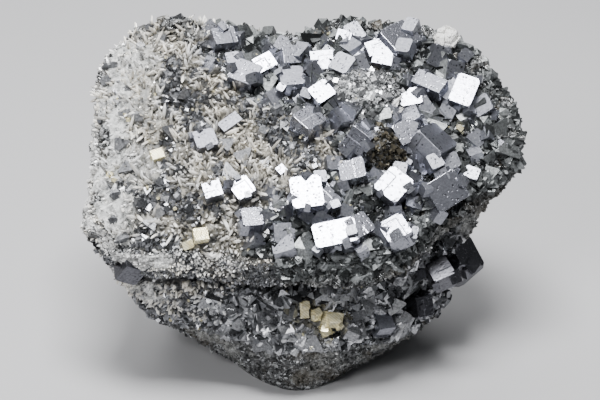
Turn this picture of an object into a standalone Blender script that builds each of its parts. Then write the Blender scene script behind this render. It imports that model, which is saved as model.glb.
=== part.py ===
"""Galena specimen: a broken plate of dark sulphide rock on a narrower foot.

Its sloping crown carries a quartz druse on the left and a sphalerite crust on
the right, with larger galena, pyrite and quartz crystals seated in both. More
small crystals line the recess under the crown's edge. X runs to the right, Y to
the back and Z up. The origin is the middle of the flat broken foot that the
specimen rests on. Lengths are in millimetres, and each mesh is scaled to metres
when it is made.
"""

import math
import random

import bmesh
import bpy
import numpy as np
from mathutils import Matrix, Vector

MM = 0.001
GAP = 0.3

# The crown is the sloping upper face. Its own frame has right, up the slope, and its normal.
CROWN_TILT = math.radians(33.0)
CROWN_CENTRE = np.array([0.0, -5.0, 89.0])
CROWN_RIGHT = np.array([1.0, 0.0, 0.0])
CROWN_UP = np.array([0.0, math.cos(CROWN_TILT), math.sin(CROWN_TILT)])
CROWN_NORMAL = np.array([0.0, -math.sin(CROWN_TILT), math.cos(CROWN_TILT)])

# Each ring gives one value every 30 or 15 degrees, from the right side over the back.
EDGE_RADIUS = [
    82, 82, 80, 73, 62, 57, 48, 53, 62, 78, 84, 81,
    75, 81, 78, 61, 52, 48, 46, 48, 52, 54, 56, 64,
]
RIM_FLARE = [2, 2, 1, 1, 1, 1, 1, 1, 1, 1, 2, 3, 4, 3, 2, 2, 1, 1, 1, 1, 2, 2, 2, 2]
RIM_THICKNESS = [11, 10, 10, 10, 10, 11, 12, 11, 11, 11, 11, 11]
RECESS_DEPTH = [9, 6, 3, 2, 2, 2, 2, 2, 2, 2, 3, 3, 4, 4, 5, 7, 9, 11, 12, 12, 12, 12, 11, 10]
LIP_RADIUS = [
    57, 54, 50, 46, 44, 43, 42, 43, 45, 48, 52, 57,
    60, 60, 57, 51, 47, 45, 45, 44, 45, 48, 51, 55,
]
LIP_HEIGHT = [
    18, 24, 30, 36, 40, 42, 42, 42, 40, 36, 30, 22,
    18, 20, 24, 25, 24, 22, 22, 22, 22, 20, 18, 18,
]
FOOT_RADIUS = [37, 37, 36, 36, 36, 37, 35, 33, 36, 40, 34, 34]
RECESS_DROP = 4.0

# The rock is a square grid drawn out to the crown's outline, whose border carries on down the sides.
CROWN_CELLS = 14
SIDE_STEPS = (2, 1, 4, 1)

# Swellings and hollows of the crown: right, up the slope, half-width and height.
CROWN_DOME = 4.0
CROWN_RELIEF = [
    (20, 17, 22, 5.0),
    (42, 14, 9, -5.0),
    (30, -3, 9, 4.0),
    (62, 12, 16, -4.0),
    (-40, -16, 20, 4.0),
    (-35, 12, 12, -3.0),
    (-60, 30, 16, 3.0),
    (-5, -18, 16, 2.5),
    (52, -28, 18, -3.0),
]
ROUGHNESS = 1.3
ROUGHNESS_SIZE = 9.0

# The crusts lie in the rock in beds this deep. On the crown the quartz ends, and the sphalerite starts, on a
# line that comes this far right at each height up the slope. Spans of the lower tier are in degrees.
CRUST_DEPTH = 3.0
CRUST_INSET = 0.3
QUARTZ_UP = [-45, -30, -20, -8, 2, 10, 20, 30, 48]
QUARTZ_RIGHT = [-22, -12, 0, 16, 13, 2, -22, -28, -34]
QUARTZ_TIER = (186, 226)
CAVITY_TIER = (240, 345)
TIER_ROWS = range(3, 6)
BARE, QUARTZ_DRUSE, SPHALERITE_CRUST, LOWER_DRUSE, CAVITY_CRUST = range(5)

# Small crystals of each crust: sides, radius, length out of the crust, lean in degrees, share of the faces,
# and the height of the pointed end as a share of the length. A pyramid's share is over 1: it starts sunk.
POINTS = {
    QUARTZ_DRUSE: (6, (1.1, 1.7), (4.5, 8.5), 34, 0.45, 0.3),
    LOWER_DRUSE: (6, (1.0, 1.5), (2.5, 4.5), 30, 0.5, 0.3),
    SPHALERITE_CRUST: (4, (2.2, 3.4), (1.8, 3.8), 14, 0.6, 1.25),
    CAVITY_CRUST: (3, (2.0, 3.2), (1.8, 3.6), 14, 0.6, 1.25),
}
POINT_SUNK = 1.4
BORDER_SIZE = 0.65

# Blocks of cubic crystals on the crown: right, up, width, depth, height, then lean right, lean up and spin
# in degrees. Blocks of one entry have grown together.
CROWN_GALENA = {
    "galena_top_left": [(-30, 45, 9.5, 8, 8, 12, 8, 15)],
    "galena_upper_cluster": [
        (-20.5, 28, 11, 10, 10, -8, 10, -28),
        (-13.5, 33, 8, 7, 8, 0, 0, 30),
    ],
    "galena_upper_small": [(-4, 37.5, 7, 7, 7, 15, -5, 10)],
    "galena_upper_cube": [(-3.5, 25, 9.5, 9.5, 9.5, 5, 14, 8)],
    "galena_upper_right": [(8, 18, 8.5, 8, 8, 3, 0, 38)],
    "galena_pitted_plate": [(8.5, 35, 9, 8, 7, 0, -6, 6)],
    "galena_top_flash": [(17, 46, 6, 5, 5, 0, 0, -15)],
    "galena_top_cluster": [
        (38, 43, 13, 12, 12, 10, 10, 36),
        (29.5, 40, 8, 6.5, 7, 0, 0, 20),
        (32, 36, 8, 8, 7, 0, 0, -12),
    ],
    "galena_east_blade": [(50, 25, 13, 7, 8, -8, 10, -32)],
    "galena_east_flash": [(63, 22.5, 9, 13, 9, 0, 0, -22)],
    "galena_right_cluster": [
        (42, 10.5, 10, 9, 9, -22, 20, 20),
        (39.5, 3, 9, 9, 9, 10, -5, 30),
        (49, -2, 13, 13, 13, 32, 22, 40),
    ],
    "galena_broad_face": [(54, -19, 14, 12, 12, 10, -14, 35)],
    "galena_centre_cube": [(23, -0.5, 10, 9, 9, 35, 30, 45)],
    "galena_centre_low": [(20.5, -13.5, 10, 9, 9, -15, 5, 10)],
    "galena_centre_flash": [(35, -19.5, 12, 11, 12, 0, 0, 50)],
    "galena_front_cluster": [
        (2.5, -24, 12, 13, 12, 0, 0, 8),
        (9.5, -25.5, 8, 8, 9, 15, 10, 42),
    ],
    "galena_front_block": [
        (13, -38, 16.5, 10, 10, 0, 0, 13),
        (21.5, -35, 9, 9, 9, 12, 5, 35),
    ],
    "galena_front_left": [(-18, -33, 8, 8, 8, 6, 8, 8)],
    "galena_left_flash": [(-21.5, -21.5, 8, 8, 8, 0, 0, 35)],
    "galena_far_left_flash": [(-32.5, -22.5, 7, 6.5, 7, 0, 0, 18)],
    "galena_ridge_cube": [(3, 5.5, 10, 10, 10, 10, 16, 42)],
    "galena_ridge_small": [(15, 7.5, 7, 7, 7, 25, 15, 25)],
    "galena_west_cube": [(-36, -1, 8.5, 8, 8, 5, 8, 18)],
    "galena_west_blade": [(-26.5, 9, 9, 5, 6, -5, 5, 38)],
    "galena_front_right": [(36, -36, 10, 10, 10, -10, 5, 28)],
    "galena_tiny_flash": [(-7, -13, 3.6, 3.6, 3.6, 0, 0, 40)],
}
CROWN_PYRITE = {
    "pyrite_front_left": [(-37, -38, 5.5, 5, 5, 8, 0, 12)],
    "pyrite_west": [(-54, -5, 5, 4, 4, 5, 0, 20)],
}
PROUD_SHARE = 0.12
SOCKET_REACH = 0.72

# Blocks on the flanks: X, Y and Z of the middle, width, depth, height, then turns about X, Y and Z.
FLANK_GALENA = {
    "galena_flank_right": [(60, -10, 41, 15, 15, 15, 30, 25, 40)],
    "galena_flank_middle": [(54, -26, 45, 9, 9, 9, 20, -15, 20)],
    "galena_flank_low": [(46, -28, 32, 8, 8, 8, -25, 10, 35)],
    "galena_flank_left": [(-64, -37, 56, 9, 9, 9, 20, 30, 20)],
    "galena_tier_cube": [(31.5, -36, 28.5, 7, 7, 7, 30, 10, 25)],
}
FLANK_PYRITE = {
    "pyrite_tall": [(1.5, -37.5, 37, 3.2, 3.2, 6.5, -20, 0, 10)],
    "pyrite_middle": [(5.9, -37.7, 34.6, 3.2, 3.2, 4.4, -15, 10, 30)],
    "pyrite_striated": [
        (12, -38, 32.5, 7, 6, 6, -30, 20, 15),
        (9.5, -39.5, 28.8, 4.2, 4.2, 4.2, -20, -10, 25),
    ],
}
CORNER_CUT = 0.22
SMALLEST_CUT_BLOCK = 7.5

# The pale quartz lump on the back right edge: right, up, and radius.
KNOB_PLACE = (57, 46)
KNOB_RADIUS = 4.6

# Colour, roughness and metallic value of each mineral.
MATERIALS = {
    "sulphide_rock": ((0.10, 0.10, 0.09), 0.75, 0.1),
    "quartz": ((0.62, 0.61, 0.55), 0.3, 0.0),
    "sphalerite": ((0.16, 0.17, 0.16), 0.35, 0.3),
    "galena": ((0.34, 0.35, 0.40), 0.3, 0.8),
    "pyrite": ((0.55, 0.47, 0.24), 0.35, 0.9),
}


def around(table, angle):
    """The table's values as a smooth closed curve, read at an angle by a cubic through four neighbours."""
    values = np.asarray(table, float)
    place = angle / (2 * math.pi) * len(values)
    index = math.floor(place)
    part = place - index
    before, here, after, beyond = (values[(index + k) % len(values)] for k in (-1, 0, 1, 2))
    bend = 3 * (here - after) + beyond - before
    slope = 2 * before - 5 * here + 4 * after - beyond
    return here + 0.5 * part * (after - before + part * (slope + part * bend))


def lattice_value(corner, seed):
    """A repeatable value from -1 to 1 for a lattice point, mixed from its three whole numbers."""
    mixed = sum(int(n) * prime for n, prime in zip(corner, (374761393, 668265263, 2246822519)))
    mixed = (mixed + seed * 40503) & 0xFFFFFFFF
    mixed = ((mixed ^ (mixed >> 13)) * 1274126177) & 0xFFFFFFFF
    return ((mixed ^ (mixed >> 16)) & 0xFFFFFF) / 0x7FFFFF - 1.0


def smooth_noise(point, size, seed):
    """Value noise: lattice values size apart, blended between the eight corners round the point."""
    place = np.asarray(point, float) / size
    corner = np.floor(place)
    part = place - corner
    part = part * part * (3 - 2 * part)
    total = 0.0
    for step in np.ndindex(2, 2, 2):
        weight = np.prod(np.where(step, part, 1 - part))
        total += weight * lattice_value(corner + step, seed)
    return total


def roughness(point):
    """The rock's own unevenness: one octave of noise, and a finer one of half the height."""
    coarse = smooth_noise(point, ROUGHNESS_SIZE, 1)
    fine = smooth_noise(point, ROUGHNESS_SIZE / 2, 2)
    return ROUGHNESS * (coarse + 0.5 * fine)


def crown_point(right, up):
    """The crown's surface above a place in its plane: a low dome, bell-shaped swellings, and roughness."""
    reach = math.hypot(right, up) / around(EDGE_RADIUS, math.atan2(up, right))
    height = CROWN_DOME * (1 - min(reach, 1.0) ** 2)
    for at_right, at_up, half_width, rise in CROWN_RELIEF:
        gap = ((right - at_right) ** 2 + (up - at_up) ** 2) / half_width**2
        height += rise * math.exp(-gap)
    height += roughness((right, up, 0.0))
    return CROWN_CENTRE + right * CROWN_RIGHT + up * CROWN_UP + height * CROWN_NORMAL


def crown_place(point):
    """How far a point lies to the right and up the slope from the crown's middle."""
    from_middle = np.asarray(point) - CROWN_CENTRE
    return from_middle @ CROWN_RIGHT, from_middle @ CROWN_UP


def side_row(angle, section, share):
    """A point of the side. Section 0 runs from edge to rim, 1 to the recess, 2 to the lip, 3 to the foot."""
    outward = np.array([math.cos(angle), math.sin(angle), 0.0])
    down = np.array([0.0, 0.0, -1.0])
    reach = around(EDGE_RADIUS, angle)
    edge = crown_point(reach * math.cos(angle), reach * math.sin(angle))
    rim = edge + around(RIM_FLARE, angle) * outward + around(RIM_THICKNESS, angle) * down
    recess = rim - around(RECESS_DEPTH, angle) * outward + RECESS_DROP * down
    lip = around(LIP_RADIUS, angle) * outward - around(LIP_HEIGHT, angle) * down
    foot = around(FOOT_RADIUS, angle) * outward
    profile = (edge, rim, recess, lip, foot)
    point = profile[section] * (1 - share) + profile[section + 1] * share
    if section == 3 and share == 1:
        return point
    return point + roughness(point) * outward


def crust_at(middle, row):
    """The crust that covers a face, from its middle and its row of the side, which is -1 on the crown."""
    if row < 0:
        right, up = crown_place(middle)
        return QUARTZ_DRUSE if right < np.interp(up, QUARTZ_UP, QUARTZ_RIGHT) else SPHALERITE_CRUST
    angle = math.degrees(math.atan2(middle[1], middle[0])) % 360
    if row in TIER_ROWS and QUARTZ_TIER[0] < angle < QUARTZ_TIER[1]:
        return LOWER_DRUSE
    if row in TIER_ROWS and CAVITY_TIER[0] < angle < CAVITY_TIER[1]:
        return CAVITY_CRUST
    return BARE


def rock_skin():
    """The rock's whole skin in a bmesh, each face marked with the crust that covers it."""
    skin = bmesh.new()
    crust = skin.faces.layers.int.new("crust")
    bmesh.ops.create_grid(skin, x_segments=CROWN_CELLS, y_segments=CROWN_CELLS, size=1.0)
    for vertex in skin.verts:
        across, along = vertex.co.x, vertex.co.y
        disc_x = across * math.sqrt(1 - along**2 / 2)
        disc_y = along * math.sqrt(1 - across**2 / 2)
        reach = around(EDGE_RADIUS, math.atan2(disc_y, disc_x))
        vertex.co = crown_point(disc_x * reach, disc_y * reach)
    for face in skin.faces:
        face[crust] = crust_at(face.calc_center_median(), -1)

    ring = [edge for edge in skin.edges if edge.is_boundary]
    angles = {}
    for vertex in {v for edge in ring for v in edge.verts}:
        right, up = crown_place(vertex.co)
        angles[vertex] = math.atan2(up, right)
    row = 0
    for section, steps in enumerate(SIDE_STEPS):
        for step in range(steps):
            old = list(angles)
            places = {tuple(v.co): angles[v] for v in old}
            new = bmesh.ops.extrude_edge_only(skin, edges=ring)["geom"]
            ring = [g for g in new if isinstance(g, bmesh.types.BMEdge) and g.is_boundary]
            angles = {g: places[tuple(g.co)] for g in new if isinstance(g, bmesh.types.BMVert)}
            for vertex, angle in angles.items():
                vertex.co = side_row(angle, section, (step + 1) / steps)
            for face in {f for vertex in angles for f in vertex.link_faces}:
                face[crust] = crust_at(face.calc_center_median(), row)
            row += 1
    bmesh.ops.contextual_create(skin, geom=ring)
    bmesh.ops.recalc_face_normals(skin, faces=skin.faces)
    sides = [face for face in skin.faces if len(face.verts) == 4]
    bmesh.ops.triangulate(skin, faces=sides, quad_method="SHORT_EDGE")
    return skin


def mark_inward(skin):
    """Marks each covered point with its way straight in, which is against its covered faces' mean normal."""
    crust = skin.faces.layers.int["crust"]
    inward = skin.verts.layers.float_vector.new("inward")
    for vertex in skin.verts:
        normals = [face.normal for face in vertex.link_faces if face[crust] != BARE]
        if normals:
            vertex[inward] = -sum(normals, Vector()).normalized()


def lowered(skin):
    """The rock's skin with its beds let in: each covered point moves straight in by the crusts' depth."""
    rock = skin.copy()
    inward = rock.verts.layers.float_vector["inward"]
    for vertex in rock.verts:
        vertex.co += CRUST_DEPTH * vertex[inward]
    return rock


def patch_of(skin, kind):
    """The faces of one crust alone, with their border drawn in so that neighbouring crusts keep apart."""
    patch = skin.copy()
    crust = patch.faces.layers.int["crust"]
    others = [face for face in patch.faces if face[crust] != kind]
    bmesh.ops.delete(patch, geom=others, context="FACES")
    rim = bmesh.ops.inset_region(patch, faces=patch.faces[:], thickness=CRUST_INSET, use_boundary=True)
    bmesh.ops.delete(patch, geom=rim["faces"], context="FACES")
    patch.normal_update()
    return patch


def bed_of(patch):
    """The crust's bed: its faces, the same faces let into the rock, and walls between them."""
    bed = patch.copy()
    inward = bed.verts.layers.float_vector["inward"]
    lower = bmesh.ops.extrude_face_region(bed, geom=bed.faces[:], use_keep_orig=True)["geom"]
    for vertex in lower:
        if isinstance(vertex, bmesh.types.BMVert):
            vertex.co += (CRUST_DEPTH - GAP) * vertex[inward]
    bmesh.ops.recalc_face_normals(bed, faces=bed.faces)
    return bed


def add_point(points, base, axis, spin, sides, radius, length, tip_share):
    """One small crystal: a short prism that runs from its sunk base along its axis to a pointed end."""
    tip = tip_share * length
    shaft = length - tip + POINT_SUNK
    turn = Vector((0, 0, 1)).rotation_difference(axis).to_matrix().to_4x4()
    place = Matrix.Translation(base - POINT_SUNK * axis) @ turn @ Matrix.Rotation(spin, 4, "Z")
    place = place @ Matrix.Translation((0, 0, shaft / 2))
    radii = {"radius1": radius, "radius2": 0.92 * radius}
    cone = bmesh.ops.create_cone(points, cap_ends=True, segments=sides, depth=shaft, matrix=place, **radii)
    faces = {face for vertex in cone["verts"] for face in vertex.link_faces}
    top = max(faces, key=lambda face: face.normal.dot(axis))
    end = bmesh.ops.poke(points, faces=[top])["verts"][0]
    end.co += tip * axis


def crust_points(patch, kind, sockets):
    """The small crystals of a crust, on some of its faces and clear of the larger crystals' sockets."""
    sides, radii, lengths, lean, share, tip_share = POINTS[kind]
    rng = random.Random(100 + kind)
    points = bmesh.new()
    for face in sorted(patch.faces, key=lambda face: tuple(face.calc_center_median())):
        keep = rng.random() < share
        radius = rng.uniform(*radii)
        length = rng.uniform(*lengths)
        spin = rng.uniform(0, math.tau)
        toward = rng.uniform(0, math.tau)
        tilt = math.radians(lean) * math.sqrt(rng.random())
        if any(vertex.is_boundary for vertex in face.verts):
            tilt = 0.0
            radius *= BORDER_SIZE
            length *= BORDER_SIZE
        along = face.calc_tangent_edge()
        across = face.normal.cross(along)
        aside = math.cos(toward) * along + math.sin(toward) * across
        axis = (math.cos(tilt) * face.normal + math.sin(tilt) * aside).normalized()
        base = face.calc_center_median()
        ends = (base, base + length * axis)
        clear = all((end - middle).length > reach + radius + 0.5 for end in ends for middle, reach in sockets)
        if keep and clear:
            add_point(points, base, axis, spin, sides, radius, length, tip_share)
    return points


def crown_block_place(right, up, height, lean_right, lean_up, spin):
    """Where a block of the crown stands: near the surface, leaning from its normal, turned about it."""
    frame = Matrix((CROWN_RIGHT, CROWN_UP, CROWN_NORMAL)).transposed().to_4x4()
    lean = Matrix.Rotation(math.radians(lean_right), 4, "Y") @ Matrix.Rotation(math.radians(-lean_up), 4, "X")
    middle = crown_point(right, up) + PROUD_SHARE * height * CROWN_NORMAL
    return Matrix.Translation(middle) @ frame @ lean @ Matrix.Rotation(math.radians(spin), 4, "Z")


def flank_block_place(middle, turns):
    """Where a block of the flanks stands: at its middle, turned about X, then Y, then Z."""
    turned = Matrix.Identity(4)
    for axis, degrees in zip("XYZ", turns):
        turned = Matrix.Rotation(math.radians(degrees), 4, axis) @ turned
    return Matrix.Translation(middle) @ turned


def block(size, place, grow=0.0):
    """A cube's block with its corners cut off, or the socket that it sits in where it is grown."""
    shape = bmesh.new()
    bmesh.ops.create_cube(shape, size=1.0)
    bmesh.ops.scale(shape, vec=[side + 2 * grow for side in size], verts=shape.verts)
    if min(size) >= SMALLEST_CUT_BLOCK:
        cut = CORNER_CUT * min(size) + (3 - math.sqrt(3)) * grow
        bmesh.ops.bevel(shape, geom=shape.verts[:], offset=cut, segments=1, profile=0.5, affect="VERTICES")
    bmesh.ops.transform(shape, matrix=place, verts=shape.verts)
    return shape


def knob(place, grow=0.0):
    """The quartz lump: a faceted ball, dented by the rock's noise, or its socket where it is grown."""
    shape = bmesh.new()
    bmesh.ops.create_icosphere(shape, subdivisions=2, radius=1.0)
    for vertex in shape.verts:
        dent = 0.16 * smooth_noise(2.2 * vertex.co, 1.0, 5)
        vertex.co *= KNOB_RADIUS * (1 + dent) + grow
    bmesh.ops.transform(shape, matrix=place, verts=shape.verts)
    return shape


def material(name):
    """The mineral's material, made once."""
    if name in bpy.data.materials:
        return bpy.data.materials[name]
    colour, rough, metallic = MATERIALS[name]
    made = bpy.data.materials.new(name)
    made.use_nodes = True
    shader = made.node_tree.nodes["Principled BSDF"]
    shader.inputs["Base Color"].default_value = (*colour, 1.0)
    shader.inputs["Roughness"].default_value = rough
    shader.inputs["Metallic"].default_value = metallic
    return made


def add_object(name, shape, collection, mineral=None):
    """The shape as an object in metres, in a collection, with its mineral's material."""
    mesh = bpy.data.meshes.new(name)
    shape.to_mesh(mesh)
    shape.free()
    mesh.transform(Matrix.Scale(MM, 4))
    made = bpy.data.objects.new(name, mesh)
    collection.objects.link(made)
    if mineral is None:
        made.hide_render = True
        made.display_type = "WIRE"
    else:
        mesh.materials.append(material(mineral))
    return made


def add_boolean(target, operation, operand):
    """A Boolean on the target, with one object or with all of a collection."""
    modifier = target.modifiers.new(operation.lower(), "BOOLEAN")
    modifier.operation = operation
    modifier.solver = "EXACT"
    if isinstance(operand, bpy.types.Collection):
        modifier.operand_type = "COLLECTION"
        modifier.collection = operand
    else:
        modifier.object = operand
        modifier.use_self = operation == "UNION"
    return modifier


def keep_main_body(target):
    """Applies the target's modifiers, and leaves out any sliver that a socket has cut loose."""
    graph = bpy.context.evaluated_depsgraph_get()
    mesh = bpy.data.meshes.new_from_object(target.evaluated_get(graph))
    shape = bmesh.new()
    shape.from_mesh(mesh)
    remaining = set(shape.verts)
    bodies = []
    while remaining:
        body = front = {remaining.pop()}
        while front:
            front = {edge.other_vert(vertex) for vertex in front for edge in vertex.link_edges} - body
            body = body | front
        remaining -= body
        bodies.append(body)
    main = max(bodies, key=len)
    loose = [vertex for vertex in shape.verts if vertex not in main]
    bmesh.ops.delete(shape, geom=loose, context="VERTS")
    shape.to_mesh(mesh)
    shape.free()
    target.modifiers.clear()
    target.data = mesh


def new_collection(name):
    """An empty collection in the scene."""
    made = bpy.data.collections.new(name)
    bpy.context.scene.collection.children.link(made)
    return made


def add_crystal(name, blocks, mineral, specimen, sockets, helpers):
    """A crystal, or several grown together, and a socket for each. A block is its size and its place."""
    size, place = blocks[0]
    crystal = add_object(name, block(size, place), specimen, mineral)
    for number, (other_size, other_place) in enumerate(blocks[1:], 2):
        other = add_object(f"{name}_part_{number}", block(other_size, other_place), helpers)
        add_boolean(crystal, "UNION", other)
    for number, (each_size, each_place) in enumerate(blocks, 1):
        add_object(f"{name}_socket_{number}", block(each_size, each_place, GAP), sockets)


def all_crystals():
    """Every crystal's name, mineral and blocks, on the crown and then on the flanks."""
    crystals = []
    for table, mineral in ((CROWN_GALENA, "galena"), (CROWN_PYRITE, "pyrite")):
        for name, rows in table.items():
            blocks = [
                (row[2:5], crown_block_place(row[0], row[1], row[4], row[5], row[6], row[7])) for row in rows
            ]
            crystals.append((name, mineral, blocks))
    for table, mineral in ((FLANK_GALENA, "galena"), (FLANK_PYRITE, "pyrite")):
        for name, rows in table.items():
            blocks = [(row[3:6], flank_block_place(row[0:3], row[6:9])) for row in rows]
            crystals.append((name, mineral, blocks))
    return crystals


def build_specimen():
    """The whole specimen: crystals and their sockets, then the rock, then the crusts that lie on it."""
    for old in list(bpy.data.objects):
        bpy.data.objects.remove(old)
    specimen = new_collection("galena_specimen")
    sockets = new_collection("sockets")
    helpers = new_collection("cutters")

    crystals = all_crystals()
    for name, mineral, grown in crystals:
        add_crystal(name, grown, mineral, specimen, sockets, helpers)
    knob_place = Matrix.Translation(crown_point(*KNOB_PLACE) + 0.3 * KNOB_RADIUS * CROWN_NORMAL)
    add_object("quartz_knob", knob(knob_place), specimen, "quartz")
    add_object("quartz_knob_socket", knob(knob_place, GAP), sockets)

    blocks = [block for _, _, grown in crystals for block in grown]
    taken = [(place.to_translation(), SOCKET_REACH * max(size)) for size, place in blocks]
    taken.append((knob_place.to_translation(), 1.1 * KNOB_RADIUS))

    skin = rock_skin()
    mark_inward(skin)
    rock = add_object("host_rock", lowered(skin), specimen, "sulphide_rock")
    add_boolean(rock, "DIFFERENCE", sockets)
    for kind, name, mineral in (
        (QUARTZ_DRUSE, "quartz_druse", "quartz"),
        (SPHALERITE_CRUST, "sphalerite_crust", "sphalerite"),
        (LOWER_DRUSE, "quartz_druse_lower", "quartz"),
        (CAVITY_CRUST, "cavity_crust", "sphalerite"),
    ):
        patch = patch_of(skin, kind)
        points = add_object(f"{name}_points", crust_points(patch, kind, taken), helpers)
        crust = add_object(name, bed_of(patch), specimen, mineral)
        patch.free()
        add_boolean(crust, "UNION", points)
        add_boolean(crust, "DIFFERENCE", sockets)
        keep_main_body(crust)
    skin.free()


build_specimen()
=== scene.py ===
# %% [markdown]
# # Galena specimen
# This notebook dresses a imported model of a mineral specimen. The model's solids are the frame: a slab of
# sulphide rock on a narrow foot, crusts of small crystals on its sloping crown and in the recess under it,
# and the larger crystals that stand in them. Here each of them gets its fine surface. Lengths are in
# millimetres in the arrays, and turn to metres when a mesh is made.

# %% Load the frame
import math

import bpy
import numpy as np
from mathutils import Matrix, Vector


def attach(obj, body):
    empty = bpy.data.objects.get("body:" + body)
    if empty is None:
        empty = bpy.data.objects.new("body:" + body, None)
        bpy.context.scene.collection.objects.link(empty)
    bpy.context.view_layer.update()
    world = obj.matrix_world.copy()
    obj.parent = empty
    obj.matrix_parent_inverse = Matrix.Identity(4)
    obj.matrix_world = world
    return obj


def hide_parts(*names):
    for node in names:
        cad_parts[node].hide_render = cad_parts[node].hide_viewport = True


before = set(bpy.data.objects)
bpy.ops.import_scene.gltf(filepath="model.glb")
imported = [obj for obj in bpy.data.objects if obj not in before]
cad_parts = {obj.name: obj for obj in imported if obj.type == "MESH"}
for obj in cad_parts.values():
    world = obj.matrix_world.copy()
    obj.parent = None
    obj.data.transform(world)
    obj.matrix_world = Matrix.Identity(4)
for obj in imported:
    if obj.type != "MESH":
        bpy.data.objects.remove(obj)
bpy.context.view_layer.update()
MM = 0.001
print("nodes in the frame:", len(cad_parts))

# %% [markdown]
# ## Camera
# The photograph looks down on the specimen at about 32 degrees, with little perspective, so the camera stands
# far off with a long lens. It could be placed by hand, but working its place out from an angle, a distance
# and a point to look at keeps the view easy to turn.

# %% Camera
VIEW_ELEVATION = math.radians(32.0)
VIEW_DISTANCE = 780.0
VIEW_TARGET = Vector((0.0, 0.0, 62.6))
LENS = 120.0

view_direction = Vector((0.0, -math.cos(VIEW_ELEVATION), math.sin(VIEW_ELEVATION)))
camera_data = bpy.data.cameras.new("camera")
camera_data.lens = LENS
camera_data.sensor_width = 36.0
camera = bpy.data.objects.new("camera", camera_data)
camera.location = (VIEW_TARGET + VIEW_DISTANCE * view_direction) * MM
camera.rotation_euler = (-view_direction).to_track_quat("-Z", "Y").to_euler()
bpy.context.scene.collection.objects.link(camera)
bpy.context.scene.camera = camera
print("camera at", [round(value, 3) for value in camera.location])

# %% [markdown]
# ## Meshes from arrays
# Thousands of crystals can't be modelled one by one. A mesh can be filled straight from numpy arrays
# instead: one array of points and one of triangles. Blender's foreach_set copies a whole array at once,
# which is many times faster than adding faces in a loop. No point is let under the floor. Most surfaces are
# grids of points, and three short helpers serve all of them.

# %% Mesh from arrays
def add_piece(name, points, triangles, material, slot, along=None):
    """A mesh object from points in millimetres and triangles, with a value for each point if one is given."""
    points = np.maximum(points, [-np.inf, -np.inf, 0.0])
    mesh = bpy.data.meshes.new(name)
    mesh.vertices.add(len(points))
    mesh.vertices.foreach_set("co", (points * MM).astype(np.float32).ravel())
    mesh.loops.add(3 * len(triangles))
    mesh.loops.foreach_set("vertex_index", triangles.astype(np.int32).ravel())
    mesh.polygons.add(len(triangles))
    mesh.polygons.foreach_set("loop_start", np.arange(0, 3 * len(triangles), 3, dtype=np.int32))
    mesh.update(calc_edges=True)
    mesh.shade_flat()
    if along is not None:
        mesh.attributes.new("along", "FLOAT", "POINT").data.foreach_set("value", along.astype(np.float32))
    mesh.materials.append(material)
    piece = bpy.data.objects.new(name, mesh)
    bpy.context.scene.collection.objects.link(piece)
    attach(piece, "root")
    low, high = points.min(axis=0).round(1), points.max(axis=0).round(1)
    print(f"{name}: {len(triangles)} triangles, from {low} to {high} mm")
    return piece


def grid_triangles(rows, columns, closed):
    """Two triangles for each cell of a grid of points; a closed grid joins its last column to its first."""
    across = np.arange(columns if closed else columns - 1)
    down = np.arange(rows - 1)[:, None]
    here = down * columns + across
    beside = down * columns + (across + 1) % columns
    first = np.stack([here, here + columns, beside + columns], axis=-1).reshape(-1, 3)
    second = np.stack([here, beside + columns, beside], axis=-1).reshape(-1, 3)
    return np.concatenate([first, second])


def pole_triangles(rows, columns):
    """A closed grid's triangles with its first ring joined in one point, less those that vanish there."""
    triangles = grid_triangles(rows, columns, closed=True)
    triangles = np.where(triangles < columns, 0, triangles)
    first, second, third = triangles.T
    return triangles[(first != second) & (second != third) & (third != first)]


def in_plane(right, up, level=0.0):
    """Points at one level from two arrays of coordinates."""
    return np.stack([right, up, np.full_like(right, level)], axis=-1)


def unit(vectors):
    """The vectors at a length of 1."""
    return vectors / np.linalg.norm(vectors, axis=-1, keepdims=True)


# %% [markdown]
# ## Noise
# Rock is uneven at every size. Value noise gives rolling unevenness: random numbers on a lattice, blended
# between lattice points. Broken mineral also has flat facets, so a second noise gives every point the plane
# of its nearest lattice cell, each plane tilted its own way. Both come from one hash, so they repeat exactly.
# The seed in each call only keeps that noise unlike the others.

# %% Noise
def lattice_value(corner, seed):
    """A repeatable value from -1 to 1 for each lattice point, mixed from its three whole numbers."""
    whole = corner.astype(np.int64).astype(np.uint32)
    mixed = whole[..., 0] * np.uint32(374761393) + whole[..., 1] * np.uint32(668265263)
    mixed = mixed + whole[..., 2] * np.uint32(2246822519) + np.uint32(seed * 40503)
    mixed = (mixed ^ (mixed >> np.uint32(13))) * np.uint32(1274126177)
    return ((mixed ^ (mixed >> np.uint32(16))) & np.uint32(0xFFFFFF)) / float(0x7FFFFF) - 1.0


def smooth_noise(points, size, seed):
    """Value noise: lattice values size apart, blended between the eight corners round each point."""
    place = np.asarray(points, float) / size
    corner = np.floor(place)
    part = place - corner
    part = part * part * (3 - 2 * part)
    total = 0.0
    for step in np.ndindex(2, 2, 2):
        weight = np.prod(np.where(step, part, 1 - part), axis=-1)
        total = total + weight * lattice_value(corner + step, seed)
    return total


def nearest_cell(points, size, seed):
    """For each point, the way from the nearest cell's random middle to it, in cell sizes, and that cell."""
    place = np.asarray(points, float) / size
    corner = np.floor(place)
    nearest = np.full(place.shape[:-1], np.inf)
    way = np.zeros(place.shape)
    owner = np.zeros(place.shape)
    for step in np.ndindex(3, 3, 3):
        cell = corner + (np.array(step) - 1)
        jitter = np.stack([lattice_value(cell, seed + k) for k in range(3)], axis=-1)
        away = place - (cell + 0.5 + 0.4 * jitter)
        distance = np.sum(away * away, axis=-1)
        closer = distance < nearest
        way = np.where(closer[..., None], away, way)
        owner = np.where(closer[..., None], cell, owner)
        nearest = np.where(closer, distance, nearest)
    return way, owner


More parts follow.
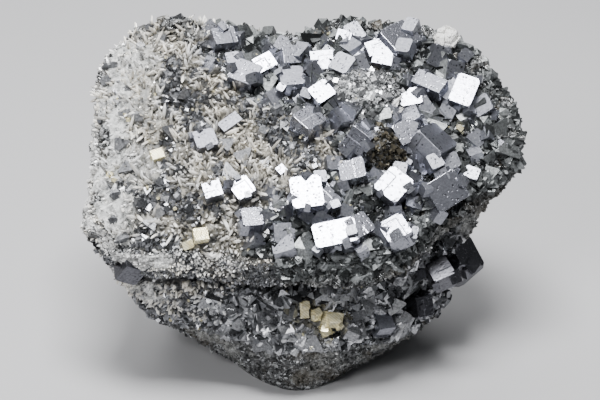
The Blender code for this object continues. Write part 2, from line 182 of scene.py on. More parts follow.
def facets(points, size, seed, tilt=0.8):
    """Flat facets: each point takes the height and the slope that its nearest cell has been given."""
    way, owner = nearest_cell(points, size, seed)
    slope = np.stack([lattice_value(owner, seed + 3 + k) for k in range(3)], axis=-1)
    return 0.5 * lattice_value(owner, seed + 6) + tilt * np.sum(slope * way, axis=-1)


def ease(value, start, end):
    """Rises smoothly from 0 at start to 1 at end."""
    share = np.clip((value - start) / (end - start), 0, 1)
    return share * share * (3 - 2 * share)


print("noise at the origin:", round(float(smooth_noise(np.zeros(3), 9.0, 1)), 3))

# %% [markdown]
# ## The rock's form
# The slab's crown is a tilted, lumpy plate with an outline that wanders in and out. Below its edge the rock
# breaks back under the plate, then runs down to the foot. Every outline here is a ring of radii, one value
# for each 15 or 30 degrees, read as a smooth curve. The crown's swellings and hollows are rows of their place
# right and up the slope, half width and rise. These are the frame's own sizes, so the fine surface lies on
# the solid rock.

# %% Rock sizes
CROWN_TILT = math.radians(33.0)
CROWN_CENTRE = np.array([0.0, -5.0, 89.0])
CROWN_FRAME = np.array(
    [
        [1.0, 0.0, 0.0],
        [0.0, math.cos(CROWN_TILT), -math.sin(CROWN_TILT)],
        [0.0, math.sin(CROWN_TILT), math.cos(CROWN_TILT)],
    ]
)
EDGE_RADIUS = [
    82, 82, 80, 73, 62, 57, 48, 53, 62, 78, 84, 81,
    75, 81, 78, 61, 52, 48, 46, 48, 52, 54, 56, 64,
]
RIM_FLARE = [2, 2, 1, 1, 1, 1, 1, 1, 1, 1, 2, 3, 4, 3, 2, 2, 1, 1, 1, 1, 2, 2, 2, 2]
RIM_THICKNESS = [11, 10, 10, 10, 10, 11, 12, 11, 11, 11, 11, 11]
RECESS_DEPTH = [9, 6, 3, 2, 2, 2, 2, 2, 2, 2, 3, 3, 4, 4, 5, 7, 9, 11, 12, 12, 12, 12, 11, 10]
LIP_RADIUS = [
    57, 54, 50, 46, 44, 43, 42, 43, 45, 48, 52, 57,
    60, 60, 57, 51, 47, 45, 45, 44, 45, 48, 51, 55,
]
LIP_HEIGHT = [
    18, 24, 30, 36, 40, 42, 42, 42, 40, 36, 30, 22,
    18, 20, 24, 25, 24, 22, 22, 22, 22, 20, 18, 18,
]
FOOT_RADIUS = [37, 37, 36, 36, 36, 37, 35, 33, 36, 40, 34, 34]
RECESS_DROP = 4.0
CROWN_DOME = 4.0
CROWN_RELIEF = [
    (20, 17, 22, 5.0),
    (42, 14, 9, -5.0),
    (30, -3, 9, 4.0),
    (62, 12, 16, -4.0),
    (-40, -16, 20, 4.0),
    (-35, 12, 12, -3.0),
    (-60, 30, 16, 3.0),
    (-5, -18, 16, 2.5),
    (52, -28, 18, -3.0),
]
ROUGHNESS = 1.3
ROUGHNESS_SIZE = 9.0


def around(table, angle):
    """The table's values as a smooth closed curve, read at each angle by a cubic through four neighbours."""
    values = np.asarray(table, float)
    place = np.asarray(angle) / (2 * math.pi) * len(values)
    index = np.floor(place).astype(int)
    part = place - index
    before, here, after, beyond = (values[(index + k) % len(values)] for k in (-1, 0, 1, 2))
    bend = 3 * (here - after) + beyond - before
    slope = 2 * before - 5 * here + 4 * after - beyond
    return here + 0.5 * part * (after - before + part * (slope + part * bend))


def roughness(points):
    """The rock's rolling unevenness: one octave of noise, and a finer one of half the height."""
    coarse = smooth_noise(points, ROUGHNESS_SIZE, 1)
    return ROUGHNESS * (coarse + 0.5 * smooth_noise(points, ROUGHNESS_SIZE / 2, 2))


def crown_reach(right, up):
    """How far out a place on the crown lies: 0 at the middle, and 1 on the outline."""
    return np.hypot(right, up) / around(EDGE_RADIUS, np.arctan2(up, right))


def crown_point(right, up, raised=0.0):
    """The crown's surface over a place in its plane: a low dome, bell-shaped swellings, and roughness."""
    height = CROWN_DOME * (1 - np.clip(crown_reach(right, up), 0, 1) ** 2)
    for at_right, at_up, half_width, rise in CROWN_RELIEF:
        height = height + rise * np.exp(-((right - at_right) ** 2 + (up - at_up) ** 2) / half_width**2)
    height = height + roughness(in_plane(right, up)) + raised
    return CROWN_CENTRE + np.stack([right, up, height], axis=-1) @ CROWN_FRAME.T


def outward_at(angle):
    """The level direction out from the middle at an angle."""
    return in_plane(np.cos(angle), np.sin(angle))


def side_point(angle, section, share):
    """The side at an angle: section 0 runs from edge to rim, 1 to the recess, 2 to the lip, 3 to the foot."""
    outward = outward_at(angle)
    down = np.array([0.0, 0.0, -1.0])
    reach = around(EDGE_RADIUS, angle)
    edge = crown_point(reach * np.cos(angle), reach * np.sin(angle))
    rim = edge + around(RIM_FLARE, angle)[..., None] * outward
    rim = rim + around(RIM_THICKNESS, angle)[..., None] * down
    recess = rim - around(RECESS_DEPTH, angle)[..., None] * outward + RECESS_DROP * down
    lip = around(LIP_RADIUS, angle)[..., None] * outward - around(LIP_HEIGHT, angle)[..., None] * down
    foot = around(FOOT_RADIUS, angle)[..., None] * outward
    upper = (edge, rim, recess, lip)[section]
    lower = (rim, recess, lip, foot)[section]
    point = upper * (1 - share) + lower * share
    uneven = roughness(point)[..., None] * (1 - share if section == 3 else 1.0)
    return point + uneven * outward


print("crown's middle:", np.round(crown_point(np.zeros(1), np.zeros(1))[0], 1))

# %% [markdown]
# ## Where the large crystals stand
# The galena cubes and the pyrites are the frame's own solids. On the crown a block is given by how far right
# and up the slope it stands, its size, and its lean and spin. On the sides it is given by its middle and its
# turns. The small crystals later need to know where these blocks are, so that none pokes through them.

# %% Crystal places
CROWN_BLOCKS = {
    "galena_top_left": [(-30, 45, 9.5, 8, 8, 12, 8, 15)],
    "galena_upper_cluster": [(-20.5, 28, 11, 10, 10, -8, 10, -28), (-13.5, 33, 8, 7, 8, 0, 0, 30)],
    "galena_upper_small": [(-4, 37.5, 7, 7, 7, 15, -5, 10)],
    "galena_upper_cube": [(-3.5, 25, 9.5, 9.5, 9.5, 5, 14, 8)],
    "galena_upper_right": [(8, 18, 8.5, 8, 8, 3, 0, 38)],
    "galena_pitted_plate": [(8.5, 35, 9, 8, 7, 0, -6, 6)],
    "galena_top_flash": [(17, 46, 6, 5, 5, 0, 0, -15)],
    "galena_top_cluster": [
        (38, 43, 13, 12, 12, 10, 10, 36),
        (29.5, 40, 8, 6.5, 7, 0, 0, 20),
        (32, 36, 8, 8, 7, 0, 0, -12),
    ],
    "galena_east_blade": [(50, 25, 13, 7, 8, -8, 10, -32)],
    "galena_east_flash": [(63, 22.5, 9, 13, 9, 0, 0, -22)],
    "galena_right_cluster": [
        (42, 10.5, 10, 9, 9, -22, 20, 20),
        (39.5, 3, 9, 9, 9, 10, -5, 30),
        (49, -2, 13, 13, 13, 32, 22, 40),
    ],
    "galena_broad_face": [(54, -19, 14, 12, 12, 10, -14, 35)],
    "galena_centre_cube": [(23, -0.5, 10, 9, 9, 35, 30, 45)],
    "galena_centre_low": [(20.5, -13.5, 10, 9, 9, -15, 5, 10)],
    "galena_centre_flash": [(35, -19.5, 12, 11, 12, 0, 0, 50)],
    "galena_front_cluster": [(2.5, -24, 12, 13, 12, 0, 0, 8), (9.5, -25.5, 8, 8, 9, 15, 10, 42)],
    "galena_front_block": [(13, -38, 16.5, 10, 10, 0, 0, 13), (21.5, -35, 9, 9, 9, 12, 5, 35)],
    "galena_front_left": [(-18, -33, 8, 8, 8, 6, 8, 8)],
    "galena_left_flash": [(-21.5, -21.5, 8, 8, 8, 0, 0, 35)],
    "galena_far_left_flash": [(-32.5, -22.5, 7, 6.5, 7, 0, 0, 18)],
    "galena_ridge_cube": [(3, 5.5, 10, 10, 10, 10, 16, 42)],
    "galena_ridge_small": [(15, 7.5, 7, 7, 7, 25, 15, 25)],
    "galena_west_cube": [(-36, -1, 8.5, 8, 8, 5, 8, 18)],
    "galena_west_blade": [(-26.5, 9, 9, 5, 6, -5, 5, 38)],
    "galena_front_right": [(36, -36, 10, 10, 10, -10, 5, 28)],
    "galena_tiny_flash": [(-7, -13, 3.6, 3.6, 3.6, 0, 0, 40)],
    "pyrite_front_left": [(-37, -38, 5.5, 5, 5, 8, 0, 12)],
    "pyrite_west": [(-54, -5, 5, 4, 4, 5, 0, 20)],
}
SIDE_BLOCKS = {
    "galena_flank_right": [(60, -10, 41, 15, 15, 15, 30, 25, 40)],
    "galena_flank_middle": [(54, -26, 45, 9, 9, 9, 20, -15, 20)],
    "galena_flank_low": [(46, -28, 32, 8, 8, 8, -25, 10, 35)],
    "galena_flank_left": [(-64, -37, 56, 9, 9, 9, 20, 30, 20)],
    "galena_tier_cube": [(31.5, -36, 28.5, 7, 7, 7, 30, 10, 25)],
    "pyrite_tall": [(1.5, -37.5, 37, 3.2, 3.2, 6.5, -20, 0, 10)],
    "pyrite_middle": [(5.9, -37.7, 34.6, 3.2, 3.2, 4.4, -15, 10, 30)],
    "pyrite_striated": [
        (12, -38, 32.5, 7, 6, 6, -30, 20, 15),
        (9.5, -39.5, 28.8, 4.2, 4.2, 4.2, -20, -10, 25),
    ],
}
PROUD_SHARE = 0.12
CORNER_CUT = 0.11
SMALLEST_CUT_BLOCK = 7.5
SMALL_BLOCK_CUT = 0.25
PYRITE_MARGIN = 1.6


def rotation(axis, degrees):
    """A turn about X, Y or Z, which are axes 0, 1 and 2."""
    turn = math.radians(degrees)
    matrix = np.eye(3)
    a, b = (axis + 1) % 3, (axis + 2) % 3
    matrix[a, a] = matrix[b, b] = math.cos(turn)
    matrix[b, a] = math.sin(turn)
    matrix[a, b] = -math.sin(turn)
    return matrix


def crown_block(right, up, width, depth, height, lean_right, lean_up, spin):
    """A crown block's size, turn and middle."""
    turn = CROWN_FRAME @ rotation(1, lean_right) @ rotation(0, -lean_up) @ rotation(2, spin)
    surface = crown_point(np.array([float(right)]), np.array([float(up)]))[0]
    return np.array([width, depth, height]), turn, surface + PROUD_SHARE * height * CROWN_FRAME[:, 2]


def side_block(x, y, z, width, depth, height, turn_x, turn_y, turn_z):
    """A side block's size, turn and middle."""
    turn = rotation(2, turn_z) @ rotation(1, turn_y) @ rotation(0, turn_x)
    return np.array([width, depth, height]), turn, np.array([x, y, z], float)


CRYSTALS = {node: [crown_block(*row) for row in rows] for node, rows in CROWN_BLOCKS.items()}
CRYSTALS.update({node: [side_block(*row) for row in rows] for node, rows in SIDE_BLOCKS.items()})


def clear_of_blocks(points, margin):
    """Which points lie outside every large crystal by a margin."""
    clear = np.ones(points.shape[:-1], bool)
    for node, blocks in CRYSTALS.items():
        for size, turn, middle in blocks:
            local = np.abs((points - middle) @ turn)
            more = PYRITE_MARGIN if node.startswith("pyrite") else 0.0
            clear &= (local > size / 2 + margin + more).any(axis=-1)
    return clear


print("large crystals:", len(CRYSTALS), "with", sum(len(blocks) for blocks in CRYSTALS.values()), "blocks")

# %% [markdown]
# ## Procedural materials
# A finish is a network of shader nodes. Writing each link out makes long cells, so one small helper adds a
# node, sets its named values and links its named inputs. Patterns read Object coordinates, which are metres
# here, so a pattern's size is stated in millimetres and turned into a scale.

# %% Material helpers
class Finish:
    """A material under construction: its node tree and its Principled shader."""

    def __init__(self, name):
        self.material = bpy.data.materials.new(name)
        self.material.use_nodes = True
        self.tree = self.material.node_tree
        self.shader = self.tree.nodes["Principled BSDF"]
        self.place = self.add("ShaderNodeTexCoord").outputs["Object"]

    def put(self, socket, value):
        """Links another node's socket to this one, or sets it to a number, a vector or a colour."""
        if isinstance(value, bpy.types.NodeSocket):
            self.tree.links.new(value, socket)
        else:
            socket.default_value = (*value, 1.0) if socket.type == "RGBA" else value

    def add(self, kind, inputs=None, **settings):
        """A node with its settings and its inputs, which are named or numbered."""
        node = self.tree.nodes.new(kind)
        for key, value in settings.items():
            setattr(node, key, value)
        for key, value in (inputs or {}).items():
            self.put(node.inputs[key], value)
        return node

    def noise(self, size, detail=3.0, rough=0.6):
        """Rolling noise with lumps about size millimetres across."""
        inputs = {"Vector": self.place, "Scale": 1 / (size * MM), "Detail": detail, "Roughness": rough}
        return self.add("ShaderNodeTexNoise", inputs).outputs["Fac"]

    def cells(self, size):
        """Voronoi cells about size millimetres across: their distance, own colour and own place."""
        return self.add("ShaderNodeTexVoronoi", {"Vector": self.place, "Scale": 1 / (size * MM)}).outputs

    def vectors(self, operation, first, second):
        """A sum on two vectors."""
        return self.add("ShaderNodeVectorMath", {0: first, 1: second}, operation=operation).outputs

    def tilted_grains(self, size):
        """A height whose slope changes from grain to grain, so each grain reflects its own way."""
        grains = self.cells(size)
        local = self.vectors("SUBTRACT", self.place, grains["Position"])[0]
        tilt = self.vectors("SUBTRACT", grains["Color"], (0.5, 0.5, 0.5))[0]
        slope = self.vectors("DOT_PRODUCT", local, tilt)["Value"]
        return self.math("MULTIPLY", slope, 1 / (size * MM))

    def ramp(self, value, *stops):
        """Maps a value to colours or greys through stops of (position, value or colour)."""
        node = self.add("ShaderNodeValToRGB", {"Fac": value})
        elements = node.color_ramp.elements
        elements[1].position = stops[-1][0]
        elements[0].position = stops[0][0]
        for position, _ in stops[1:-1]:
            elements.new(position)
        for element, (_, colour) in zip(elements, stops):
            element.color = (*colour, 1.0) if isinstance(colour, tuple) else (colour, colour, colour, 1.0)
        return node.outputs["Color"]

    def mix(self, share, first, second, blend="MIX"):
        """Blends two colours by a share."""
        inputs = {0: share, 6: first, 7: second}
        return self.add("ShaderNodeMix", inputs, data_type="RGBA", blend_type=blend).outputs[2]

    def math(self, operation, first, second):
        """A sum on two values."""
        return self.add("ShaderNodeMath", {0: first, 1: second}, operation=operation).outputs[0]

    def bump(self, height, distance, strength=1.0):
        """Links a height in 0 to 1 to the shader's normal, as relief of a distance in millimetres."""
        inputs = {"Height": height, "Distance": distance * MM, "Strength": strength}
        normal = self.add("ShaderNodeBump", inputs).outputs["Normal"]
        self.tree.links.new(normal, self.shader.inputs["Normal"])

    def set(self, **inputs):
        """Sets or links the shader's inputs, whose names have underscores for spaces here."""
        for key, value in inputs.items():
            self.put(self.shader.inputs[key.replace("_", " ")], value)

    def island(self):
        """A value from 0 to 1 that each crystal of a mesh has for itself."""
        return self.add("ShaderNodeNewGeometry").outputs["Random Per Island"]

    def along(self):
        """The value that a mesh holds for each point."""
        return self.add("ShaderNodeAttribute", attribute_name="along").outputs["Fac"]


print("finish helper ready")

# %% [markdown]
# ## Rock finish
# Massive sulphide ore is a dark grey mass of grains a millimetre or two across. Each grain breaks on its own
# cleavage, so some glint like metal and most look dull. A flat grey would look like plaster. Here small
# cells give each grain its own grey, a few bright grains are metallic, and pale patches and brownish stains
# follow wider noises. Under the front edge the rock is painted almost black as shade under the overhang,
# and the mesh gives the strength of this painted shade with a value at each point.

# %% Rock finish
def rock_finish(name, size, *tones):
    """Dark grains of a size, some of them bright cleavage faces, with pale patches, brownish stains and
    painted shade.
    """
    rock = Finish(name)
    grey = rock.add("ShaderNodeSeparateColor", {"Color": rock.cells(size)["Color"]}).outputs
    tone = rock.ramp(grey[0], (0.0, tones[0]), (0.5, tones[1]), (0.8, tones[2]), (1.0, tones[3]))
    tone = rock.mix(1.0, tone, (0.96, 0.98, 1.0), "MULTIPLY")
    patch = rock.ramp(rock.noise(17.0, 6.0, 0.65), (0.50, 0.0), (0.56, 0.5), (0.66, 0.75))
    stain = rock.ramp(rock.noise(13.0, 4.0), (0.50, 0.0), (0.66, 0.65))
    colour = rock.mix(patch, tone, rock.mix(grey[2], (0.20, 0.205, 0.20), (0.55, 0.55, 0.53)))
    colour = rock.mix(stain, colour, (0.10, 0.085, 0.06))
    # Painted shade under the front edge: where the mesh's value is high, the colour goes almost black and the
    # grains stop glinting.
    painted_shade = rock.along()
    colour = rock.mix(painted_shade, colour, (0.006, 0.006, 0.007))
    bright = rock.math("SUBTRACT", rock.ramp(grey[1], (0.66, 0.0), (0.74, 1.0)), painted_shade)
    bright = rock.math("MAXIMUM", bright, 0.0)
    rock.set(Base_Color=colour, Metallic=rock.math("MULTIPLY", bright, 0.85))
    rock.set(Roughness=rock.ramp(bright, (0.0, 0.58), (1.0, 0.22)))
    rock.bump(rock.math("ADD", rock.tilted_grains(size), rock.noise(0.8, 4.0, 0.7)), 1.1 * size, 0.9)
    return rock.material


ROCK_FINISH = rock_finish("sulphide_rock_finish", 1.0, 0.02, 0.10, 0.26, 0.66)
# A darker copy of the rock finish for the beds under small crystals: partly the matrix's own dark colour,
# partly painted shade in the gaps between the crystals.
MATRIX_AND_GAP_SHADE_FINISH = rock_finish("dark_matrix_and_gap_shade_finish", 0.7, 0.008, 0.03, 0.09, 0.30)
print("made", ROCK_FINISH.name, MATRIX_AND_GAP_SHADE_FINISH.name)

# %% [markdown]
# ## Rock surface
# The rock is one skin, from the middle of the crown out to its edge, down the sides and under the foot. It
# could be sculpted by hand. A function of two parameters is easier to steer: an angle round the rock, and a
# way down its profile. Flat facets are pushed out of that smooth form, as in rock broken with a hammer. The
# back was broken in wide planes, so there the largest facets cut deepest. Under the front edge a band of
# painted shade darkens the rock over the recess.

# %% Rock surface
ROCK_COLUMNS = 560
CROWN_ROWS = 24
SECTION_ROWS = (26, 14, 66, 34)
FOOT_ROWS = 5
CROWN_SUNK = 2.2
FIRST_SHARE = 0.02
# How dark the painted shade under the front edge goes at its strongest
PAINTED_SHADE_STRENGTH = 0.94
# The height, size and seed of each layer of facets
FACET_LAYERS = ((2.2, 13.0, 15), (1.2, 5.0, 11), (0.6, 2.4, 21))
GRIT_HEIGHT = 0.2
GRIT_SIZE = 0.9
PLANE_DEPTH = 3.4
PLANE_SIZE = 24.0
PLANE_TILT = 2.0
VERY_FRONT = -38
SUNK_AT_BLOCKS = 1.2


def facet_relief(points):
    """Relief of a broken surface: facets of 13, 5 and 2.4 mm, then grit.

    Wide planes cut deeper at the back. The relief stays low at the very front, and sinks under the blocks.
    """
    height = np.zeros(points.shape[:-1])
    for layer_height, size, seed in FACET_LAYERS:
        height = height + layer_height * facets(points, size, seed)
    height = height + GRIT_HEIGHT * smooth_noise(points, GRIT_SIZE, 31)
    planes = np.clip(0.9 + facets(points, PLANE_SIZE, 35, PLANE_TILT), 0, 2)
    height = height - PLANE_DEPTH * ease(points[..., 1], -8.0, 14.0) * planes
    height = np.where(points[..., 1] < VERY_FRONT, np.minimum(height, GRIT_HEIGHT), height)
    return np.where(clear_of_blocks(points, 1.5), height, -SUNK_AT_BLOCKS)


def rock_side(angle, section, share):
    """The broken side: the smooth form with its relief pushed outward, which fades at the edge and foot."""
    point = side_point(angle, section, share)
    calm = (1 - share) ** 0.5 if section == 3 else np.ones_like(share)
    calm = np.minimum(2.5 * share, 1.0) if section == 0 else calm
    return point + calm * facet_relief(point)[..., None] * outward_at(angle)


def rock_surface():
    """The rock's points as rows from the crown's middle to the foot's middle, one column for each angle."""
    angle = np.linspace(0, 2 * math.pi, ROCK_COLUMNS, endpoint=False)
    reach = around(EDGE_RADIUS, angle)
    rows = []
    for share in np.linspace(FIRST_SHARE, 1, CROWN_ROWS) ** 0.8:
        place = share * reach * np.cos(angle), share * reach * np.sin(angle)
        rows.append(crown_point(*place, -CROWN_SUNK * np.clip((1 - share) / FIRST_SHARE, 0.4, 1)))
    for section, steps in enumerate(SECTION_ROWS):
        for share in np.arange(1, steps + 1) / steps:
            rows.append(rock_side(angle, section, share))
    foot = rows[-1]
    rows[-1] = foot * [1, 1, 0]
    for share in np.linspace(1, 0.05, FOOT_ROWS + 1)[1:]:
        rows.append(foot * [share, share, 0])
    return np.array(rows)


def rock_mesh():
    """The rock's points and triangles: its rows as a closed grid, and a fan to a middle point at each end."""
    rows = rock_surface()
    points = np.concatenate([rows.reshape(-1, 3), rows[0].mean(axis=0)[None], [[0.0, 0.0, 0.0]]])
    ring = np.arange(ROCK_COLUMNS)
    beside = (ring + 1) % ROCK_COLUMNS
    last_row = (len(rows) - 1) * ROCK_COLUMNS
    top_fan = np.stack([ring, beside, np.full_like(ring, len(points) - 2)], axis=-1)
    foot_fan = np.stack([last_row + beside, last_row + ring, np.full_like(ring, len(points) - 1)], axis=-1)
    sides = grid_triangles(len(rows), ROCK_COLUMNS, closed=True)
    return points, np.concatenate([sides, top_fan, foot_fan])


def recess_painted_shade():
    """How strong the painted shade is at each point: it fades in and out over the rows at the recess, at the
    front.
    """
    recess_rows = SECTION_ROWS[1]
    row = np.arange(CROWN_ROWS + sum(SECTION_ROWS) + FOOT_ROWS)[:, None] - CROWN_ROWS - SECTION_ROWS[0]
    forward = -np.sin(2 * math.pi * np.arange(ROCK_COLUMNS) / ROCK_COLUMNS)
    painted_shade = ease(row, -6, 2) * (1 - ease(row, recess_rows, recess_rows + 9)) * ease(forward, -0.1, 0.25)
    return np.concatenate([PAINTED_SHADE_STRENGTH * painted_shade.ravel(), [0.0, 0.0]])


# The rock carries the strength of its painted shade under the front edge as a value at each point.
rock_piece = add_piece("rock", *rock_mesh(), ROCK_FINISH, "sulphide_rock", recess_painted_shade())
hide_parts("host_rock")

# %% [markdown]
# ## Crystal shapes
# A small crystal needs only its own flat faces. Its corners can be written down from symmetry, and its faces
# found from the directions they look in: the corners that lie farthest that way make the face. The same
# function then gives cubes, cubes with cut corners, octahedra and the tetrahedra of sphalerite. The smallest
# crystals take the plain shapes, whose uncut corners save triangles.

# %% Crystal shapes
def convex_solid(corners, directions):
    """A convex solid's corners and triangles: each face joins the corners that lie farthest its way."""
    triangles = []
    for direction in directions:
        reach = corners @ direction
        face = np.flatnonzero(reach > reach.max() - 1e-6)
        middle = corners[face].mean(axis=0)
        side = corners[face[0]] - middle
        other = np.cross(direction, side)
        turn = np.arctan2((corners[face] - middle) @ other, (corners[face] - middle) @ side)
        face = face[np.argsort(turn)]
        triangles += [(face[0], face[k], face[k + 1]) for k in range(1, len(face) - 1)]
    return corners, np.array(triangles)


SIGNS = np.array([(x, y, z) for x in (-1, 1) for y in (-1, 1) for z in (-1, 1)], float)
AXES = np.concatenate([np.eye(3), -np.eye(3)])
DIAGONALS = SIGNS / math.sqrt(3)


def cut_cube(cut):
    """A cube with its corners cut back along each edge by a share of it."""
    corners = np.concatenate([np.where(np.arange(3) == axis, 1 - 2 * cut, 1.0) * SIGNS for axis in range(3)])
    return convex_solid(np.unique(corners + 0.0, axis=0), np.concatenate([AXES, DIAGONALS]))


def cut_tetrahedron(cut):
    """A tetrahedron with its points cut back along each edge by a share of it."""
    peaks = SIGNS[np.prod(SIGNS, axis=1) > 0]
    corners = [peaks[a] + cut * (peaks[b] - peaks[a]) for a in range(4) for b in range(4) if a != b]
    return convex_solid(np.array(corners), np.concatenate([peaks, -peaks]) / math.sqrt(3))


def quartz_point():
    """A six-sided prism on an open base, with a pointed end whose faces meet a little off the middle."""
    shoulder = 0.72
    turn = np.arange(6) * math.pi / 3
    ring = np.stack([np.cos(turn), np.sin(turn)], axis=-1)
    step = np.where(np.arange(6) % 2, 0.05, -0.05)
    base = np.column_stack([ring, np.zeros(6)])
    top = np.column_stack([0.93 * ring, shoulder + step])
    corners = np.concatenate([base, top, [[0.1, 0.05, 1.0]]])
    here, beside = np.arange(6), (np.arange(6) + 1) % 6
    sides = np.concatenate(
        [
            np.stack([here, beside, beside + 6], axis=-1),
            np.stack([here, beside + 6, here + 6], axis=-1),
            np.stack([here + 6, beside + 6, np.full(6, 12)], axis=-1),
        ]
    )
    return corners, sides


PEAKS = SIGNS[np.prod(SIGNS, axis=1) > 0]
PLAIN_TETRAHEDRON = convex_solid(PEAKS, -PEAKS / math.sqrt(3))
PLAIN_CUBE = convex_solid(SIGNS, AXES)
OCTAHEDRON = convex_solid(AXES, DIAGONALS)
CUT_CUBE = cut_cube(0.10)
CUBOCTAHEDRON = cut_cube(0.5)
TETRAHEDRON = cut_tetrahedron(0.10)
QUARTZ_POINT = quartz_point()
for label, shape in (("cut cube", CUT_CUBE), ("cuboctahedron", CUBOCTAHEDRON), ("tetrahedron", TETRAHEDRON)):
    print(label, len(shape[1]), "triangles")

# %% [markdown]
# ## Scattering
# One crystal's corners, times each place, turn and size, gives all the crystals at once. Places on the crown
# come from a square grid whose points are shaken about, which spreads them more evenly than pure chance.

# %% Scattering
def scatter(shape, places, turns, sizes):
    """Copies of a shape, each scaled along its own axes, turned, and moved to its place."""
    corners, triangles = shape
    moved = np.einsum("nij,nkj->nki", turns, corners * sizes[:, None, :]) + places[:, None, :]
    first = np.arange(len(places)) * len(corners)
    return moved.reshape(-1, 3), (triangles + first[:, None, None]).reshape(-1, 3)


def joined(*parts):
    """Several (points, triangles) pairs as one."""
    starts = np.cumsum([0] + [len(points) for points, _ in parts[:-1]])
    points = np.concatenate([points for points, _ in parts])
    return points, np.concatenate([triangles + start for (_, triangles), start in zip(parts, starts)])


def turned_to(direction, spin):
    """Turns whose third axis lies along a direction, after a spin about it."""
    z = unit(direction)
    helper = np.where(np.abs(z[:, :1]) < 0.9, [1.0, 0.0, 0.0], [0.0, 1.0, 0.0])
    x = unit(np.cross(helper, z))
    y = np.cross(z, x)
    cos, sin = np.cos(spin)[:, None], np.sin(spin)[:, None]
    return np.stack([cos * x + sin * y, cos * y - sin * x, z], axis=-1)


def any_turns(rng, count):
    """Turns with no order to them: a random direction, and a random spin about it."""
    return turned_to(rng.normal(size=(count, 3)), rng.uniform(0, 2 * math.pi, count))


def crown_spots(rng, spacing, inside):
    """Places on the crown, right and up, on a shaken grid, inside a share of its outline."""
    right, up = np.meshgrid(np.arange(-95, 95, spacing), np.arange(-65, 65, spacing))
    right = (right + spacing * rng.uniform(-0.5, 0.5, right.shape)).ravel()
    up = (up + spacing * rng.uniform(-0.5, 0.5, up.shape)).ravel()
    kept = crown_reach(right, up) < inside
    return right[kept], up[kept]


def crown_normal(right, up, step=1.5):
    """The crown's outward direction: across its slopes to the right and up."""
    rightward = crown_point(right + step, up) - crown_point(right - step, up)
    upward = crown_point(right, up + step) - crown_point(right, up - step)
    return unit(np.cross(rightward, upward))


def side_spots(rng, count, degrees, section, shares, angle_step=0.01, share_step=0.02):
    """Places on the broken side: points and outward directions at random angles and shares of one section."""
    angle = np.radians(rng.uniform(*degrees, count))
    share = rng.uniform(*shares, count)[:, None]
    point = side_point(angle, section, share)
    ahead = side_point(angle + angle_step, section, share) - point
    below = side_point(angle, section, share + share_step) - point
    return rock_side(angle, section, share), unit(np.cross(below, ahead))


print("spots at 2 mm:", len(crown_spots(np.random.default_rng(0), 2.0, 0.96)[0]))

# %% [markdown]
# ## Where each crust lies
# On the crown the quartz ends along a wandering line, and the sphalerite starts there. The line is stated as
# how far right the quartz comes at each height up the slope, and noise makes the two interlock. On the far
# left the quartz is massive, without many prisms.

# %% Crust regions
QUARTZ_UP = [-45, -30, -20, -8, 2, 10, 20, 30, 48]
QUARTZ_RIGHT = [-22, -12, 0, 16, 13, 2, -22, -28, -34]
QUARTZ_WANDER = 5.0


def past_quartz(right, up):
    """How far right of the quartz druse's end a place lies, in millimetres; it is negative in the quartz."""
    line = np.interp(up, QUARTZ_UP, QUARTZ_RIGHT)
    return right - line + QUARTZ_WANDER * smooth_noise(in_plane(right, up, 50.0), 7.0, 41)


def massive_quartz(right):
    """How massive the quartz is: 0 in the druse, and 1 on the far left."""
    return ease(-right, 56.0, 70.0)


print("quartz end at mid height:", round(float(np.interp(0, QUARTZ_UP, QUARTZ_RIGHT)), 1), "mm right")

# %% [markdown]
# ## Crust beds
# Each crust has a bed under its crystals: massive quartz on the left, a mat of fine sulphide grains on the
# right. A bed is the crown's own surface again, with small facets, and its border sinks into the rock so
# that no edge shows.

# %% Crust beds
BED_COLUMNS = 420
BED_ROWS = 84
BORDER_SINK = 4.0
BED_LUMP = 0.9


def crust_bed(side, lump_size):
    """The crown's surface on one side of the quartz's end: side is -1 for the quartz and 1 for sphalerite."""
    angle = np.linspace(0, 2 * math.pi, BED_COLUMNS, endpoint=False)
    share = np.linspace(0, 1, BED_ROWS)[:, None]
    reach = share * around(EDGE_RADIUS, angle)
    right, up = reach * np.cos(angle), reach * np.sin(angle)
    flat = in_plane(right, up)
    past = side * past_quartz(right, up)
    massive = massive_quartz(right) if side < 0 else 0.0
    sink = 0.8 * ease(share, 0.97, 1.0) + BORDER_SINK * (1 - ease(past, -4.0, 0.0)) - massive
    relief = BED_LUMP * facets(flat, lump_size, 51 + side) + 0.4 * facets(flat, 1.3, 61)
    points = crown_point(right, up, relief - sink).reshape(-1, 3)
    triangles = pole_triangles(BED_ROWS, BED_COLUMNS)
    kept = (past.reshape(-1)[triangles] > -4.5).any(axis=1)
    used, triangles = np.unique(triangles[kept], return_inverse=True)
    return points[used], triangles.reshape(-1, 3)


quartz_bed = crust_bed(-1, 3.2)
sphalerite_bed = crust_bed(1, 3.6)
print("bed triangles:", len(quartz_bed[1]), len(sphalerite_bed[1]))

# %% [markdown]
# ## Quartz finishes
# The prisms are clear at their tips and cloudy at their base, so light passes through them and some of it
# scatters inside. Pure glass would look black among dark neighbours. A mix of transmission and a white
# diffuse base keeps them pale. Towards its root each prism darkens almost to black: partly the dark host
# seen through the quartz, partly painted shade among the crowded prisms. The bed under them is milky, and
# grey where sulphides show through; its near-black patches are partly painted shade in the gaps.

# %% Quartz finishes
QUARTZ_IOR = 1.544


